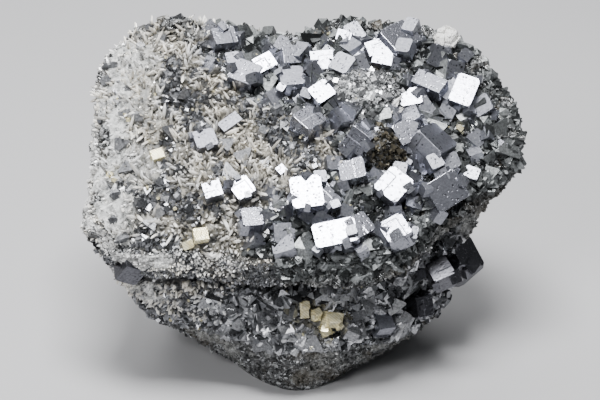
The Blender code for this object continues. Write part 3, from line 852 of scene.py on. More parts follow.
def needle_finish():
    """Clear to cloudy quartz: partly transmitted, with a warm tint that comes and goes."""
    quartz = Finish("quartz_prism_finish")
    island = quartz.island()
    tint = quartz.ramp(quartz.noise(16.0, 2.0), (0.38, (0.96, 0.96, 0.955)), (0.60, (0.97, 0.925, 0.83)))
    # Painted shade: towards its root each prism goes almost black, partly the dark host seen through the
    # quartz, partly shade among the crowded prisms.
    root, middle, tip = (0.028, 0.024, 0.018), (0.46, 0.445, 0.41), (0.98, 0.98, 0.98)
    body = quartz.ramp(quartz.along(), (0.0, root), (0.28, middle), (0.50, tip))
    shade = quartz.ramp(island, (0.0, 0.30), (0.32, 0.76), (0.65, 1.0))
    body = quartz.mix(1.0, quartz.mix(1.0, tint, shade, "MULTIPLY"), body, "MULTIPLY")
    quartz.set(Base_Color=body, Roughness=0.07, IOR=QUARTZ_IOR)
    quartz.set(Transmission_Weight=quartz.ramp(island, (0.0, 0.5), (0.4, 0.12), (1.0, 0.0)))
    return quartz.material


def milky_finish(name, shadow):
    """Massive milky quartz, white with patches of another colour, with an uneven surface."""
    quartz = Finish(name)
    cloud = quartz.ramp(quartz.noise(2.2, 6.0, 0.75), (0.40, 0.0), (0.62, 1.0))
    colour = quartz.mix(cloud, (0.90, 0.90, 0.89), shadow)
    quartz.set(Base_Color=colour, Roughness=0.22, IOR=QUARTZ_IOR)
    quartz.bump(quartz.noise(0.9, 6.0, 0.75), 0.8, 1.0)
    return quartz.material


def quartz_bed_finish():
    """The bed between the prisms: milky on the far left, elsewhere mottled with grey sulphide and painted
    shade.
    """
    quartz = Finish("quartz_bed_finish")
    across = quartz.add("ShaderNodeSeparateXYZ", {"Vector": quartz.place}).outputs["X"]
    limits = {"Value": across, "From Min": -0.068, "From Max": -0.050}
    band = quartz.add("ShaderNodeMapRange", limits).outputs[0]
    patches = quartz.ramp(quartz.noise(5.0, 5.0, 0.65), (0.42, 1.0), (0.58, 0.0))
    # Painted shade: the near-black patches stand partly for grey sulphide, partly for shade in the gaps
    # between the prisms.
    mottled = quartz.mix(patches, (0.035, 0.035, 0.034), (0.38, 0.36, 0.31))
    cloud = quartz.ramp(quartz.noise(3.0, 4.0), (0.4, 0.0), (0.7, 1.0))
    white = quartz.mix(cloud, (0.80, 0.81, 0.80), (0.15, 0.155, 0.155))
    quartz.set(Base_Color=quartz.mix(band, white, mottled), Roughness=0.3, IOR=QUARTZ_IOR)
    quartz.bump(quartz.noise(1.0, 6.0, 0.75), 0.9, 1.0)
    return quartz.material


NEEDLE_FINISH = needle_finish()
MILKY_FINISH = milky_finish("milky_quartz_finish", (0.13, 0.132, 0.13))
KNOB_FINISH = milky_finish("white_quartz_finish", (0.80, 0.79, 0.75))
QUARTZ_BED_FINISH = quartz_bed_finish()
print("made", NEEDLE_FINISH.name, MILKY_FINISH.name, QUARTZ_BED_FINISH.name)

# %% [markdown]
# ## Quartz druse
# The prisms grew outward in sprays, so neighbours fan out from a common middle. Each prism leans away from
# the middle of its cell of noise, and a little by chance. Most are 2 to 4 mm long, and some reach 9 mm. In
# places a grey patch of fine sulphide crystals covers them. Along the crown's left and back edge they hang
# over the broken side, and a few lone ones stand by a hollow in the sphalerite.

# %% Quartz druse
SPRAY_SIZE = 9.0
SPRAY_LEAN = 1.5
CHANCE_LEAN = 0.4
ROOT_DEPTH = 0.8
HOLLOW_PLACE = (36.5, 12.5)


def grey_patch(points):
    """Above 0 where fine grey crystals cover the quartz."""
    return smooth_noise(points, 10.0, 45) - 0.44


def prisms(rng, points, normals, lengths, widths):
    """Quartz prisms on a surface, fanned out in sprays, with their bases a little under it."""
    kept = clear_of_blocks(points, 0.3)
    points, normals = points[kept], normals[kept]
    away, _ = nearest_cell(points, SPRAY_SIZE, 71)
    lean = SPRAY_LEAN * away + CHANCE_LEAN * rng.normal(size=points.shape)
    lean = lean - np.sum(lean * normals, axis=-1, keepdims=True) * normals
    turns = turned_to(normals + lean, rng.uniform(0, 2 * math.pi, len(points)))
    length = rng.uniform(*lengths, len(points))
    width = rng.uniform(*widths, len(points))
    sizes = np.stack([width, width * rng.uniform(0.75, 1.0, len(points)), length], axis=-1)
    return scatter(QUARTZ_POINT, points - ROOT_DEPTH * normals, turns, sizes)


def add_prisms(name, points, triangles):
    """A piece of many prisms. Each point holds how far along its own prism it lies, from 0 to 1."""
    along = np.tile(QUARTZ_POINT[0][:, 2], len(points) // len(QUARTZ_POINT[0]))
    add_piece(name, points, triangles, NEEDLE_FINISH, "quartz", along)


def prisms_on_side(rng, count, degrees, section, shares, lengths, widths):
    """Prisms at random over part of one section of the side."""
    return prisms(rng, *side_spots(rng, count, degrees, section, shares), lengths, widths)


def druse_on_crown(rng, spacing, lengths, widths, share=1.0):
    """Prisms over the crown's quartz region at one spacing."""
    right, up = crown_spots(rng, spacing, 0.99)
    points = crown_point(right, up)
    chance = share * (1 - 0.2 * massive_quartz(right))
    kept = (past_quartz(right, up) < 0) & (rng.random(len(right)) < chance) & (grey_patch(points) < 0)
    return prisms(rng, points[kept], crown_normal(right[kept], up[kept]), lengths, widths)


def hollow_spots(rng, count):
    """Places for a few lone prisms beside the hollow right of the crown's middle."""
    right = HOLLOW_PLACE[0] + rng.uniform(-3, 3, count)
    up = HOLLOW_PLACE[1] + rng.uniform(-4, 4, count)
    return crown_point(right, up), crown_normal(right, up)


rng = np.random.default_rng(5)
crown_needles = joined(
    druse_on_crown(rng, 1.6, (2.0, 4.0), (0.30, 0.50)),
    druse_on_crown(rng, 2.3, (3.6, 6.4), (0.42, 0.68), 0.8),
    druse_on_crown(rng, 4.6, (6.0, 8.8), (0.5, 0.85), 0.7),
    prisms_on_side(rng, 420, (100, 190), 0, (0.0, 0.4), (2.2, 4.6), (0.4, 0.7)),
    prisms_on_side(rng, 220, (188, 258), 0, (0.0, 0.25), (1.3, 2.3), (0.3, 0.5)),
    prisms(rng, *hollow_spots(rng, 16), (5.0, 8.5), (0.45, 0.7)),
)
quartz_bed_piece = add_piece("quartz_bed", *quartz_bed, QUARTZ_BED_FINISH, "quartz")
add_prisms("quartz_prisms", *crown_needles)
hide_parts("quartz_druse")

# %% [markdown]
# ## Dark crystal finishes
# Sphalerite and small galena crystals are dark grey with a strong gloss. Each crystal gets its own tone,
# because its faces reflect the light in their own directions. They are mostly metallic here, because a
# diffuse grey would show every facet in nearly the same shade.

# %% Dark crystal finish
def dark_crystal_finish(name, low, high, metallic, rough=(0.20, 0.40)):
    """Glossy dark crystals, each between two colours, with fine pits."""
    crystal = Finish(name)
    island = crystal.island()
    grain = crystal.ramp(crystal.noise(0.9, 5.0, 0.75), (0.40, 0.45), (0.58, 1.0))
    between = tuple(0.7 * a + 0.3 * b for a, b in zip(low, high))
    tone = crystal.ramp(island, (0.0, low), (0.55, between), (1.0, high))
    crystal.set(Base_Color=crystal.mix(1.0, tone, grain, "MULTIPLY"))
    crystal.set(Roughness=crystal.ramp(island, (0.0, rough[0]), (1.0, rough[1])), Metallic=metallic)
    crystal.bump(crystal.noise(0.5, 4.0, 0.7), 0.08, 0.5)
    return crystal.material


def streaky_finish():
    """A pale mat of very fine crystals with darker streaks."""
    mat = Finish("fine_mass_finish")
    inputs = {"Vector": mat.place, "Scale": 1 / (2.4 * MM), "Detail": 6.0, "Distortion": 1.6}
    streak = mat.add("ShaderNodeTexNoise", inputs).outputs["Fac"]
    dark, grey, pale = (0.03, 0.03, 0.032), (0.22, 0.225, 0.23), (0.68, 0.70, 0.71)
    colour = mat.ramp(streak, (0.40, dark), (0.50, grey), (0.60, pale))
    mat.set(Base_Color=colour, Metallic=0.4, Roughness=0.35)
    mat.bump(streak, 1.4, 1.0)
    return mat.material


SPHALERITE_FINISH = dark_crystal_finish(
    "sphalerite_finish", (0.050, 0.054, 0.055), (0.42, 0.44, 0.445), 0.8, (0.22, 0.5)
)
SPARKLE_FINISH = dark_crystal_finish(
    "fine_sulphide_finish", (0.18, 0.185, 0.19), (0.90, 0.91, 0.93), 0.75, (0.15, 0.3)
)
CAVITY_FINISH = dark_crystal_finish(
    "cavity_crystal_finish", (0.10, 0.104, 0.112), (0.80, 0.81, 0.84), 0.85, (0.18, 0.38)
)
PATCH_FINISH = dark_crystal_finish("grey_patch_finish", (0.14, 0.144, 0.155), (0.60, 0.61, 0.64), 0.8)
LUMP_FINISH = dark_crystal_finish("olive_grain_finish", (0.014, 0.013, 0.01), (0.15, 0.13, 0.09), 0.35)
STREAKY_FINISH = streaky_finish()
print("made", SPHALERITE_FINISH.name, SPARKLE_FINISH.name, CAVITY_FINISH.name, LUMP_FINISH.name)

# %% [markdown]
# ## Sphalerite crust
# The right side is a jumble of tetrahedra and cubes 3 to 7 mm across, with finer ones between them. Scatters
# from coarse to fine fill it. In its middle lies a pale sparkling mass of fine crystals, with a dark lump of
# olive grains below it. A last scatter puts grey crystals into the quartz, singly and in fine patches.

# %% Sphalerite crust
FINE_MASS = (24, 20.5, 16, 11.5)
OLIVE_LUMP = (31.5, -4.0, 8.5, 8)
MOUNDS = ((FINE_MASS, 1.6), (OLIVE_LUMP, 4.6))
PLAIN_UNDER = 2.5
SHAPE_CHANCES = (0.5, 0.25, 0.25)
SHAPE_SCALES = (1.15, 0.95, 0.8)


def inside_ellipse(right, up, ellipse):
    """How deep a place lies in an ellipse of middle and half sizes: 1 in its middle, 0 on its edge."""
    wander = 0.35 * smooth_noise(in_plane(right, up), 6.0, 43)
    return 1 - np.hypot((right - ellipse[0]) / ellipse[2], (up - ellipse[1]) / ellipse[3]) + wander


def mound_height(right, up):
    """How far the fine mass and the olive lump stand over the crown at a place."""
    height = np.zeros_like(right)
    for (at_right, at_up, half_width, half_height), rise in MOUNDS:
        share = np.hypot((right - at_right) / half_width, (up - at_up) / half_height)
        height = height + rise * np.clip(1 - share**2, 0, 1)
    return height


def mound(ellipse, lump, lump_size, seed, rows=60, columns=190):
    """A mound's surface over its ellipse, with small facets; its border sinks into the bed."""
    angle = np.linspace(0, 2 * math.pi, columns, endpoint=False)
    share = np.linspace(0, 1.2, rows)[:, None]
    right = ellipse[0] + share * ellipse[2] * np.cos(angle)
    up = ellipse[1] + share * ellipse[3] * np.sin(angle)
    flat = in_plane(right, up)
    relief = lump * facets(flat, lump_size, seed) + 0.3 * smooth_noise(flat, 0.9, seed)
    height = mound_height(right, up) + relief + 0.8 - 4.0 * ease(share, 0.85, 1.2)
    return crown_point(right, up, height).reshape(-1, 3), pole_triangles(rows, columns)


def dark_crystals(rng, points, normals, sizes, sunk=0.1):
    """A mix of shapes on a surface, each turned at random and sunk in by a share of its own size."""
    size = rng.uniform(*sizes, len(points))
    kept = clear_of_blocks(points, 0.25 * size[:, None])
    points, normals, size = points[kept], normals[kept], size[kept]
    count = len(points)
    which = rng.choice(3, count, p=SHAPE_CHANCES)
    stretch = rng.uniform(0.75, 1.2, (count, 3)) * size[:, None] / 2
    places = points - (sunk * size)[:, None] * normals
    turns = any_turns(rng, count)
    shapes = (TETRAHEDRON, CUBOCTAHEDRON, CUT_CUBE)
    if max(sizes) < PLAIN_UNDER:
        shapes = (PLAIN_TETRAHEDRON, OCTAHEDRON, PLAIN_CUBE)
    parts = []
    for kind, (shape, scale) in enumerate(zip(shapes, SHAPE_SCALES)):
        chosen = which == kind
        parts.append(scatter(shape, places[chosen], turns[chosen], scale * stretch[chosen]))
    return joined(*parts)


def dark_on_crown(rng, spacing, sizes, wanted, share=1.0, sunk=0.1):
    """Dark crystals over the part of the crown where a function of the place is above 0."""
    right, up = crown_spots(rng, spacing, 0.99)
    kept = (wanted(right, up) > 0) & (rng.random(len(right)) < share)
    right, up = right[kept], up[kept]
    points = crown_point(right, up, mound_height(right, up))
    return dark_crystals(rng, points, crown_normal(right, up), sizes, sunk)


def dark_on_side(rng, count, degrees, section, shares, sizes, sunk=0.0):
    """Dark crystals at random over part of one section of the side."""
    return dark_crystals(rng, *side_spots(rng, count, degrees, section, shares), sizes, sunk)


def coarse_region(right, up):
    """Above 0 in the sphalerite, outside the fine mass and the olive lump."""
    busy = np.maximum(inside_ellipse(right, up, FINE_MASS), inside_ellipse(right, up, OLIVE_LUMP))
    return np.minimum(past_quartz(right, up), -8 * busy)


def wide_coarse_region(right, up):
    """Above 0 in the sphalerite and 2 mm past its borders."""
    return coarse_region(right, up) + 2


def quartz_region(right, up):
    """Above 0 in the quartz."""
    return -past_quartz(right, up)


def fine_region(right, up):
    """Above 0 in the pale sparkling mass."""
    return np.minimum(inside_ellipse(right, up, FINE_MASS), -inside_ellipse(right, up, OLIVE_LUMP))


def patch_region(right, up):
    """Above 0 in the grey patches of the quartz."""
    return np.minimum(quartz_region(right, up), 10 * grey_patch(crown_point(right, up)))


def lump_region(right, up):
    """Above 0 on the olive lump."""
    return inside_ellipse(right, up, OLIVE_LUMP)


rng = np.random.default_rng(6)
crown_dark = joined(
    dark_on_crown(rng, 6.0, (4.6, 7.4), coarse_region, 0.7, sunk=0.0),
    dark_on_crown(rng, 3.6, (3.0, 5.0), coarse_region, 0.9, sunk=-0.05),
    dark_on_crown(rng, 1.9, (1.4, 2.4), wide_coarse_region, 0.9, sunk=-0.3),
    dark_on_side(rng, 560, (-35, 100), 0, (0.0, 0.55), (2.4, 5.0)),
    dark_on_side(rng, 1500, (-35, 100), 0, (0.0, 0.6), (1.2, 2.4)),
    dark_on_side(rng, 420, (258, 330), 0, (0.0, 0.75), (1.8, 3.8)),
)
crown_grey = joined(
    dark_on_crown(rng, 7.0, (2.8, 5.0), quartz_region, 0.4, sunk=-0.2),
    dark_on_crown(rng, 1.3, (0.9, 2.2), patch_region, sunk=-0.3),
    dark_on_side(rng, 2800, (184, 264), 0, (0.1, 1.0), (0.6, 1.6)),
    dark_on_side(rng, 800, (184, 212), 2, (0.45, 1.0), (0.9, 2.3)),
    dark_on_side(rng, 900, (212, 238), 2, (0.1, 1.0), (0.9, 2.3)),
)
crown_sparkle = joined(
    dark_on_crown(rng, 1.0, (0.6, 1.5), fine_region, 0.6, sunk=-0.7),
    dark_on_crown(rng, 3.5, (1.8, 3.0), fine_region, 0.5, sunk=-0.3),
    dark_on_crown(rng, 1.3, (0.6, 1.3), coarse_region, 0.6, sunk=-0.9),
    dark_on_crown(rng, 1.9, (0.5, 1.1), quartz_region, 0.25, sunk=-1.4),
)
crown_lump = dark_on_crown(rng, 0.95, (0.7, 1.7), lump_region, sunk=-0.7)
# The sphalerite bed's near-black is partly painted shade in the gaps between its crystals.
sphalerite_bed_piece = add_piece("sphalerite_bed", *sphalerite_bed, MATRIX_AND_GAP_SHADE_FINISH, "sphalerite")
add_piece("fine_mass", *mound(FINE_MASS, 0.6, 2.6, 91), STREAKY_FINISH, "sphalerite")
add_piece("olive_lump", *mound(OLIVE_LUMP, 0.7, 2.2, 95), MATRIX_AND_GAP_SHADE_FINISH, "sphalerite")
add_piece("sphalerite_crystals", *crown_dark, SPHALERITE_FINISH, "sphalerite")
add_piece("grey_crystals_in_quartz", *crown_grey, PATCH_FINISH, "sphalerite")
add_piece("fine_sulphide_crystals", *crown_sparkle, SPARKLE_FINISH, "sphalerite")
add_piece("olive_grains", *crown_lump, LUMP_FINISH, "sphalerite")
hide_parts("sphalerite_crust")

# %% [markdown]
# ## Recess and broken sides
# Under the crown's edge the rock is lined with dark crystals that catch the light on a few faces. The broken
# sides are grainy, so they get chips a millimetre or two across, and coarser ones at the back and on the
# front of the foot. On the left, milky quartz with short prisms runs over the crown's edge and into the
# recess.

# %% Recess and sides
def side_bed(degrees, section, shares, rows=60, columns=140, sink=3.8):
    """A sheet over part of one section of the side, with small facets. Its ragged border sinks in."""
    angle = np.radians(np.linspace(*degrees, columns))
    share = np.linspace(*shares, rows)[:, None]
    points = rock_side(angle, section, share[..., None])
    across = np.linspace(-1, 1, columns)
    down = np.linspace(-1, 1, rows)[:, None]
    inside = 1 - across**4 - down**4 - 0.4 * (1 + smooth_noise(points, 7.0, 77))
    raised = 1.6 + 1.3 * facets(points, 3.8, 75) + 0.9 * facets(points, 1.6, 76)
    raised = raised - sink * (1 - ease(inside, 0.0, 0.25))
    points = points + raised[..., None] * outward_at(angle)
    return points.reshape(-1, 3), grid_triangles(rows, columns, closed=False)


rng = np.random.default_rng(7)
cavity_spots = [
    side_spots(rng, 600, (228, 352), 2, (0.18, 0.92)),
    side_spots(rng, 1500, (226, 352), 2, (0.16, 1.0)),
    side_spots(rng, 900, (226, 352), 2, (0.14, 1.0)),
]
cavity_sizes = ((4.0, 6.5), (1.8, 3.4), (0.8, 1.8))
cavity = joined(*[dark_crystals(rng, *spots, size, 0.05) for spots, size in zip(cavity_spots, cavity_sizes)])
cavity_piece = add_piece("recess_crystals", *cavity, CAVITY_FINISH, "sphalerite")
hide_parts("cavity_crust")

lower_bed = side_bed((176, 222), 2, (-0.04, 0.62))
lower_bed_piece = add_piece("quartz_lower_bed", *lower_bed, MILKY_FINISH, "quartz")
lower_needles = prisms_on_side(rng, 520, (186, 238), 2, (0.05, 0.72), (2.2, 5.0), (0.4, 0.75))
add_prisms("quartz_lower_prisms", *lower_needles)
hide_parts("quartz_druse_lower")

chip_parts = []
for section, count, fine_sizes in ((0, 5600, (0.8, 2.2)), (2, 5000, (0.8, 2.3)), (3, 4200, (0.7, 2.0))):
    shares = (0.0, 0.9 if section == 3 else 1.0)
    chip_parts.append(dark_on_side(rng, count, (0, 360), section, shares, fine_sizes, 0.1))
    chip_parts.append(dark_on_side(rng, count // 14, (0, 200), section, shares, (2.8, 6.5), 0.42))
chip_parts.append(dark_on_side(rng, 900, (0, 182), 1, (0.0, 1.0), (0.8, 2.2), 0.1))
chip_parts.append(dark_on_side(rng, 110, (200, 360), 3, (0.0, 0.7), (2.5, 5.5), 0.35))
add_piece("rock_chips", *joined(*chip_parts), ROCK_FINISH, "sulphide_rock")

add_piece("quartz_edge_bed", *side_bed((150, 230), 0, (0.0, 0.85)), MILKY_FINISH, "quartz")
edge_needles = prisms_on_side(rng, 1100, (160, 246), 0, (0.05, 0.8), (1.6, 3.4), (0.35, 0.6))
add_prisms("quartz_edge_prisms", *edge_needles)

# %% [markdown]
# ## Galena finish
# Galena is lead-grey and fully metallic. A fresh cleavage face is a mirror, but natural faces are etched
# with fine pits, so most of them only shine softly. The faces that happen to look halfway between the light
# and the camera flash white. Roughness and pits vary from crystal to crystal to give that mix.

# %% Galena finish
def galena_finish(name, low, high, rough=(0.20, 0.34)):
    """Lead-grey metal between two colours, with fine dark pits and a soft shine."""
    galena = Finish(name)
    pits = galena.ramp(galena.cells(1.5)["Distance"], (0.20, 0.0), (0.30, 1.0))
    where = galena.ramp(galena.noise(3.5, 3.0), (0.47, 1.0), (0.57, 0.0))
    grain = galena.noise(0.9, 5.0, 0.7)
    metal = galena.ramp(grain, (0.35, low), (0.65, high))
    dark = galena.mix(pits, (0.03, 0.03, 0.036), metal)
    galena.set(Base_Color=galena.mix(where, dark, metal))
    galena.set(Metallic=0.95, Roughness=galena.ramp(galena.island(), (0.0, rough[0]), (1.0, rough[1])))
    galena.bump(galena.math("ADD", pits, grain), 0.08, 0.5)
    return galena.material


def pyrite_finish():
    """Pale brass metal with fine darker growth lines, a little tarnished."""
    pyrite = Finish("pyrite_finish")
    lines = {"Vector": pyrite.place, "Scale": 0.314 / (0.7 * MM), "Distortion": 2.0, "Detail": 2.0}
    line = pyrite.add("ShaderNodeTexWave", lines, bands_direction="DIAGONAL").outputs["Fac"]
    tarnish = pyrite.ramp(pyrite.noise(2.0, 4.0), (0.4, (0.84, 0.75, 0.45)), (0.65, (1.0, 0.95, 0.69)))
    tarnish = pyrite.mix(1.0, tarnish, pyrite.ramp(line, (0.2, 0.72), (0.6, 1.0)), "MULTIPLY")
    pyrite.set(Base_Color=tarnish, Metallic=0.38, Roughness=0.22)
    pyrite.bump(pyrite.noise(0.5, 4.0), 0.05, 0.5)
    return pyrite.material


GALENA_FINISH = galena_finish("galena_finish", (0.25, 0.256, 0.295), (0.41, 0.42, 0.475))
# A darker copy of the galena finish: painted shade for the crystals on the shadowed flanks.
SHADED_GALENA_FINISH = galena_finish("painted_shade_galena_finish", (0.07, 0.07, 0.08), (0.15, 0.152, 0.17))
DULL_GALENA_FINISH = galena_finish(
    "dull_galena_finish", (0.15, 0.153, 0.175), (0.25, 0.255, 0.285), (0.34, 0.50)
)
SMALL_GALENA_FINISH = galena_finish(
    "small_galena_finish", (0.20, 0.205, 0.235), (0.36, 0.37, 0.41), (0.26, 0.46)
)
PYRITE_FINISH = pyrite_finish()
print("made", GALENA_FINISH.name, PYRITE_FINISH.name)

# %% [markdown]
# ## Blocks with growth steps
# A galena crystal is a cube that grew layer on layer, so its faces carry a low terrace here and there. Each
# face is a grid of points. A point on a face drops by one step where it lies off a terrace, and where two
# faces meet it drops for both, so the faces stay joined. The corners are cut back to the plane of an
# octahedron, and the edges are blunted a little, which gives them the thin bright line they have. A pyrite
# has parallel growth lines in place of terraces.

# %% Block with growth steps
STEP_HEIGHT = 0.08
MOST_TERRACES = 2


def terraces(rng, across, along):
    """Depths on one face: terraces that run out to a corner of it, laid over each other."""
    depth = np.zeros_like(across)
    for _ in range(rng.integers(0, MOST_TERRACES + 1)):
        start = rng.uniform(-0.95, 0.3, 2)
        flip = rng.choice((-1, 1), 2)
        inside = (flip[0] * across > start[0]) & (flip[1] * along > start[1])
        depth = depth + np.where(inside, 0.0, STEP_HEIGHT)
    return depth


def striations(across, along, lines):
    """Depths on one face: parallel growth lines."""
    return STEP_HEIGHT * (0.5 + 0.5 * np.sign(np.sin(lines * math.pi * across + 2.0 * np.round(3 * along))))


def block_surface(size, cut, rng, cell=0.5, blunt=0.16, lines=0):
    """A block's points and triangles about its own middle, from six grids welded along their edges."""
    half = np.asarray(size, float) / 2
    count = int(np.clip(max(size) / cell, 8, 32))
    side = np.concatenate([[-1], np.linspace(-0.98, 0.98, count - 1), [1]])
    across, along = np.meshgrid(side, side)
    grid = grid_triangles(count + 1, count + 1, closed=False)
    points, triangles = [], []
    for axis in range(3):
        for sign in (-1, 1):
            face = np.empty((count + 1, count + 1, 3))
            face[..., axis] = sign
            face[..., (axis + 1) % 3] = across * sign
            face[..., (axis + 2) % 3] = along
            triangles.append(grid[:, ::-1] + len(points) * (count + 1) ** 2)
            points.append(face.reshape(-1, 3))
    unit, back = np.unique(np.round(np.concatenate(points), 6) + 0.0, axis=0, return_inverse=True)
    triangles = back.reshape(-1)[np.concatenate(triangles)]
    core = np.clip(unit / 0.98, -1, 1) * (half - blunt)
    away = np.where(np.abs(unit) == 1, np.sign(unit) * blunt, 0.0)
    moved = core + blunt * away / np.linalg.norm(away, axis=1, keepdims=True)
    for axis in range(3):
        for sign in (-1, 1):
            on_face = unit[:, axis] == sign
            a, b = unit[:, (axis + 1) % 3], unit[:, (axis + 2) % 3]
            depth = striations(a, b, lines) if lines else terraces(rng, a, b)
            moved[:, axis] -= sign * np.where(on_face, depth, 0.0)
    over = np.abs(moved).sum(axis=1) - half.sum() + cut
    moved -= np.sign(moved) * (np.clip(over, 0, None) / 3)[:, None]
    return moved, triangles


sample = block_surface((10, 10, 10), 2.2, np.random.default_rng(1))
print("a 10 mm block:", len(sample[0]), "points", len(sample[1]), "triangles")

# %% [markdown]
# ## Galena and pyrite crystals
# Each large crystal gets its stepped surface at its own place, size and turn, which are the frame's. Blocks
# that grew together make one piece. The smaller blocks are plain cubes, and the larger have cut corners.
# The crystals on the broken sides take a darker copy of the galena finish, painted shade for the shadow
# they stand in, and the two in the quartz are dull.

# %% Galena and pyrite
def crystal_piece(node, finish, slot, seed, **relief):
    """The surface of one crystal, or of several grown together, in place of its node."""
    parts = []
    for number, (size, turn, middle) in enumerate(CRYSTALS[node]):
        cut = CORNER_CUT * min(size) if min(size) >= SMALLEST_CUT_BLOCK else SMALL_BLOCK_CUT
        points, triangles = block_surface(size, cut, np.random.default_rng(100 * seed + number), **relief)
        parts.append((points @ turn.T + middle, triangles))
    piece = add_piece(f"{node}_surface", *joined(*parts), finish, slot)
    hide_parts(node)


def galena_tone(node):
    """The galena finish that a crystal takes, by the part of the specimen it stands in."""
    # Painted shade: the crystals on the flanks take the darker copy of the galena finish.
    if node.startswith("galena_flank"):
        return SHADED_GALENA_FINISH
    return DULL_GALENA_FINISH if node.startswith("galena_west") else GALENA_FINISH


for seed, node in enumerate(CRYSTALS):
    if node.startswith("pyrite"):
        crystal_piece(node, PYRITE_FINISH, "pyrite", seed, cell=0.2, blunt=0.08, lines=9)
    else:
        crystal_piece(node, galena_tone(node), "galena", seed)

# %% [markdown]
# ## Smaller galena and pyrite
# In the photograph the big cubes are hemmed in by smaller ones that have grown into their edges, each turned
# its own way, so hardly any face has its whole outline. Some are placed along the edges of each large block,
# and others are scattered over the right of the crown. A few grains of pyrite stand where the photograph
# shows them, each given by its place right and up the crown and its size. Five more have grown onto the
# pyrites in the recess with their tops turned to the light, and specks of it are strewn over the crown and
# the recess.

# %% Smaller galena and pyrite
def edge_crystals(rng, nodes, each, share):
    """Cubes grown into the upper edges of some nodes' large blocks: places, turns and half sizes."""
    places, turns, sizes = [], [], []
    for node in nodes:
        for size, turn, middle in CRYSTALS[node]:
            if min(size) < SMALLEST_CUT_BLOCK:
                continue
            local = rng.uniform(-1, 1, (each, 3))
            free = np.abs(local).argmin(axis=1)[:, None] == np.arange(3)
            local = np.where(free, local, 0.94 * np.sign(local))
            local[:, 2] = np.where(free[:, 2], local[:, 2] * 0.5 + 0.3, rng.choice((0.85, 0.5, 0.0), each))
            places.append(middle + (local * size / 2) @ turn.T)
            turns.append(any_turns(rng, each))
            sizes.append(rng.uniform(*share, (each, 1)) * min(size) / 2 * rng.uniform(0.8, 1.15, (each, 3)))
    return np.concatenate(places), np.concatenate(turns), np.concatenate(sizes)


def galena_on_crown(rng, spacing, sizes, low, share):
    """Cubes scattered over the crown from a distance past the quartz's end: places, turns and half sizes."""
    right, up = crown_spots(rng, spacing, 0.95)
    kept = (past_quartz(right, up) > low) & (rng.random(len(right)) < share)
    kept &= (fine_region(right, up) < 0.1) & (lump_region(right, up) < 0.1)
    right, up = right[kept], up[kept]
    count = len(right)
    half = rng.uniform(*sizes, (count, 1)) / 2 * rng.uniform(0.8, 1.15, (count, 3))
    return crown_point(right, up), any_turns(rng, count), half


def speck_places(rng):
    """Places for specks: on a wide shaken grid over the crown, and at random in the recess."""
    right, up = crown_spots(rng, 13.0, 0.9)
    on_crown = crown_point(right, up, rng.uniform(0.8, 2.2, len(right)))
    in_recess, normal = side_spots(rng, 40, (190, 350), 2, (0.1, 1.0))
    return np.concatenate([on_crown, in_recess + 1.2 * normal])


rng = np.random.default_rng(8)
crown_galena = [node for node in CROWN_BLOCKS if node.startswith("galena")]
side_galena = [node for node in SIDE_BLOCKS if node.startswith("galena")]
side_cubes = scatter(CUT_CUBE, *edge_crystals(rng, side_galena, 4, (0.25, 0.5)))
# The small cubes on the flank crystals take the same painted shade.
add_piece("small_shaded_galena", *side_cubes, SHADED_GALENA_FINISH, "galena")
small_galena = joined(
    scatter(CUT_CUBE, *edge_crystals(rng, crown_galena, 5, (0.2, 0.5))),
    scatter(CUT_CUBE, *galena_on_crown(rng, 8.0, (5.0, 8.0), -2.0, 0.7)),
    scatter(CUT_CUBE, *galena_on_crown(rng, 6.0, (3.0, 5.5), -8.0, 0.5)),
)
add_piece("small_galena", *small_galena, SMALL_GALENA_FINISH, "galena")

GRAIN_PLACES = [
    (-41.5, -41.5, 3.0),
    (-71.5, -13, 2.2),
    (-67, 13, 2.0),
    (-70, -15, 1.6),
    (-65.5, 11, 1.4),
    (-19, -43, 1.6),
    (38, 8, 2.6),
    (61, 9, 2.2),
]
RECESS_PYRITES = [
    (2.2, -39.6, 40.2, 2.6, 2.6, 2.6, 32, 5, 12),
    (6.6, -39.8, 36.8, 2.8, 2.6, 3.0, 28, -8, 30),
    (12.6, -41.2, 34.6, 4.4, 3.8, 3.6, 34, 6, 18),
    (9.6, -41.8, 30.4, 2.8, 2.6, 2.6, 30, 0, -10),
    (15.0, -40.6, 31.2, 2.4, 2.4, 2.4, 32, 10, 40),
]
recess_sizes, recess_turns, recess_places = (
    np.array(part) for part in zip(*[side_block(*row) for row in RECESS_PYRITES])
)
grain_right, grain_up, grain_size = np.array(GRAIN_PLACES).T
specks = speck_places(rng)
grains = joined(
    scatter(
        CUT_CUBE,
        crown_point(grain_right, grain_up, 1.0),
        any_turns(rng, len(GRAIN_PLACES)),
        np.repeat(grain_size[:, None] / 2, 3, axis=1),
    ),
    scatter(PLAIN_CUBE, specks, any_turns(rng, len(specks)), rng.uniform(0.25, 0.55, (len(specks), 3))),
    scatter(CUT_CUBE, recess_places, recess_turns, recess_sizes / 2),
)
add_piece("pyrite_grains", *grains, PYRITE_FINISH, "pyrite")

# %% [markdown]
# ## Quartz knob
# A white lump of quartz stands on the back right edge. It is a ball whose radius follows a wide noise, with
# small flat facets on it.

# %% Quartz knob
KNOB_PLACE = (57, 46)
KNOB_RADIUS = 4.6


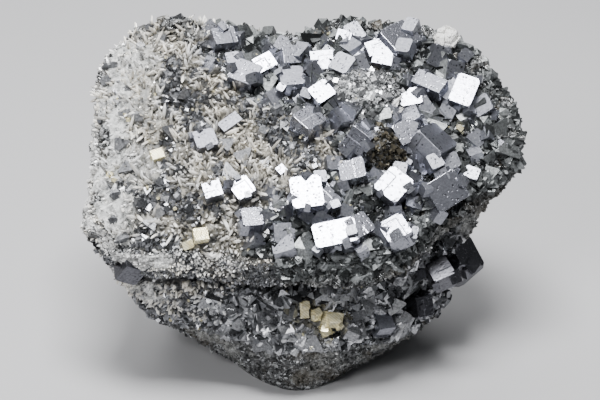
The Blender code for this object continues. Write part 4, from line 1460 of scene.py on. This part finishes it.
def knob_surface(rows=70, columns=110):
    """A dented ball in rows of latitude, with flat facets; its lower end lies inside the rock."""
    down = np.linspace(0, 0.8 * math.pi, rows)[:, None]
    turn = np.linspace(0, 2 * math.pi, columns, endpoint=False)
    level = np.cos(down) + 0 * turn
    ball = np.stack([np.sin(down) * np.cos(turn), np.sin(down) * np.sin(turn), level], axis=-1)
    radius = KNOB_RADIUS * (1 + 0.10 * smooth_noise(2.2 * ball, 1.0, 5) + 0.16 * facets(ball, 0.9, 81, 1.4))
    radius = radius + 0.35 * facets(ball * KNOB_RADIUS, 1.8, 85)
    middle = crown_point(np.array([float(KNOB_PLACE[0])]), np.array([float(KNOB_PLACE[1])]))[0]
    middle = middle + 0.5 * KNOB_RADIUS * CROWN_FRAME[:, 2]
    return (middle + radius[..., None] * ball).reshape(-1, 3), pole_triangles(rows, columns)


knob_piece = add_piece("quartz_knob_surface", *knob_surface(), KNOB_FINISH, "quartz")
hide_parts("quartz_knob")

# %% [markdown]
# ## Floor and light
# The photograph has one soft light almost overhead, which makes level faces flash white, and little light
# from the front, so faces that look down at the camera stay dark. A strip of light above does the first. A
# wide dim panel above the back gives the other facets their greys. A weak panel at the front left and a dim
# sky keep the shadows open.

# %% Floor and light
def add_panel(name, place, aim, width, height, watts):
    """A white rectangular area light at a place in millimetres, aimed at a point."""
    data = bpy.data.lights.new(name, "AREA")
    data.shape = "RECTANGLE"
    data.size = width * MM
    data.size_y = height * MM
    data.energy = watts
    light = bpy.data.objects.new(name, data)
    light.location = Vector(place) * MM
    light.rotation_euler = (Vector(aim) - Vector(place)).to_track_quat("-Z", "Y").to_euler()
    bpy.context.scene.collection.objects.link(light)


add_panel("overhead", (-20, -116, 880), (0, 0, 80), 380, 220, 17.0)
add_panel("wide_back", (-250, 500, 900), (0, 0, 80), 900, 700, 8.0)
add_panel("front_left", (-420, -640, 760), (0, 0, 60), 300, 300, 5.3)

world = bpy.data.worlds.new("studio")
world.use_nodes = True
world.node_tree.nodes["Background"].inputs["Color"].default_value = (0.55, 0.57, 0.60, 1.0)
world.node_tree.nodes["Background"].inputs["Strength"].default_value = 0.18
bpy.context.scene.world = world

floor_mesh = bpy.data.meshes.new("floor")
floor_mesh.from_pydata([(-3, -3, 0), (3, -3, 0), (3, 3, 0), (-3, 3, 0)], [], [(0, 1, 2, 3)])
floor = bpy.data.objects.new("floor", floor_mesh)
floor_finish = Finish("floor_finish")
floor_finish.set(Base_Color=(0.42, 0.42, 0.43), Roughness=0.8)
floor_mesh.materials.append(floor_finish.material)
bpy.context.scene.collection.objects.link(floor)
print("lights:", [light.name for light in bpy.data.lights])
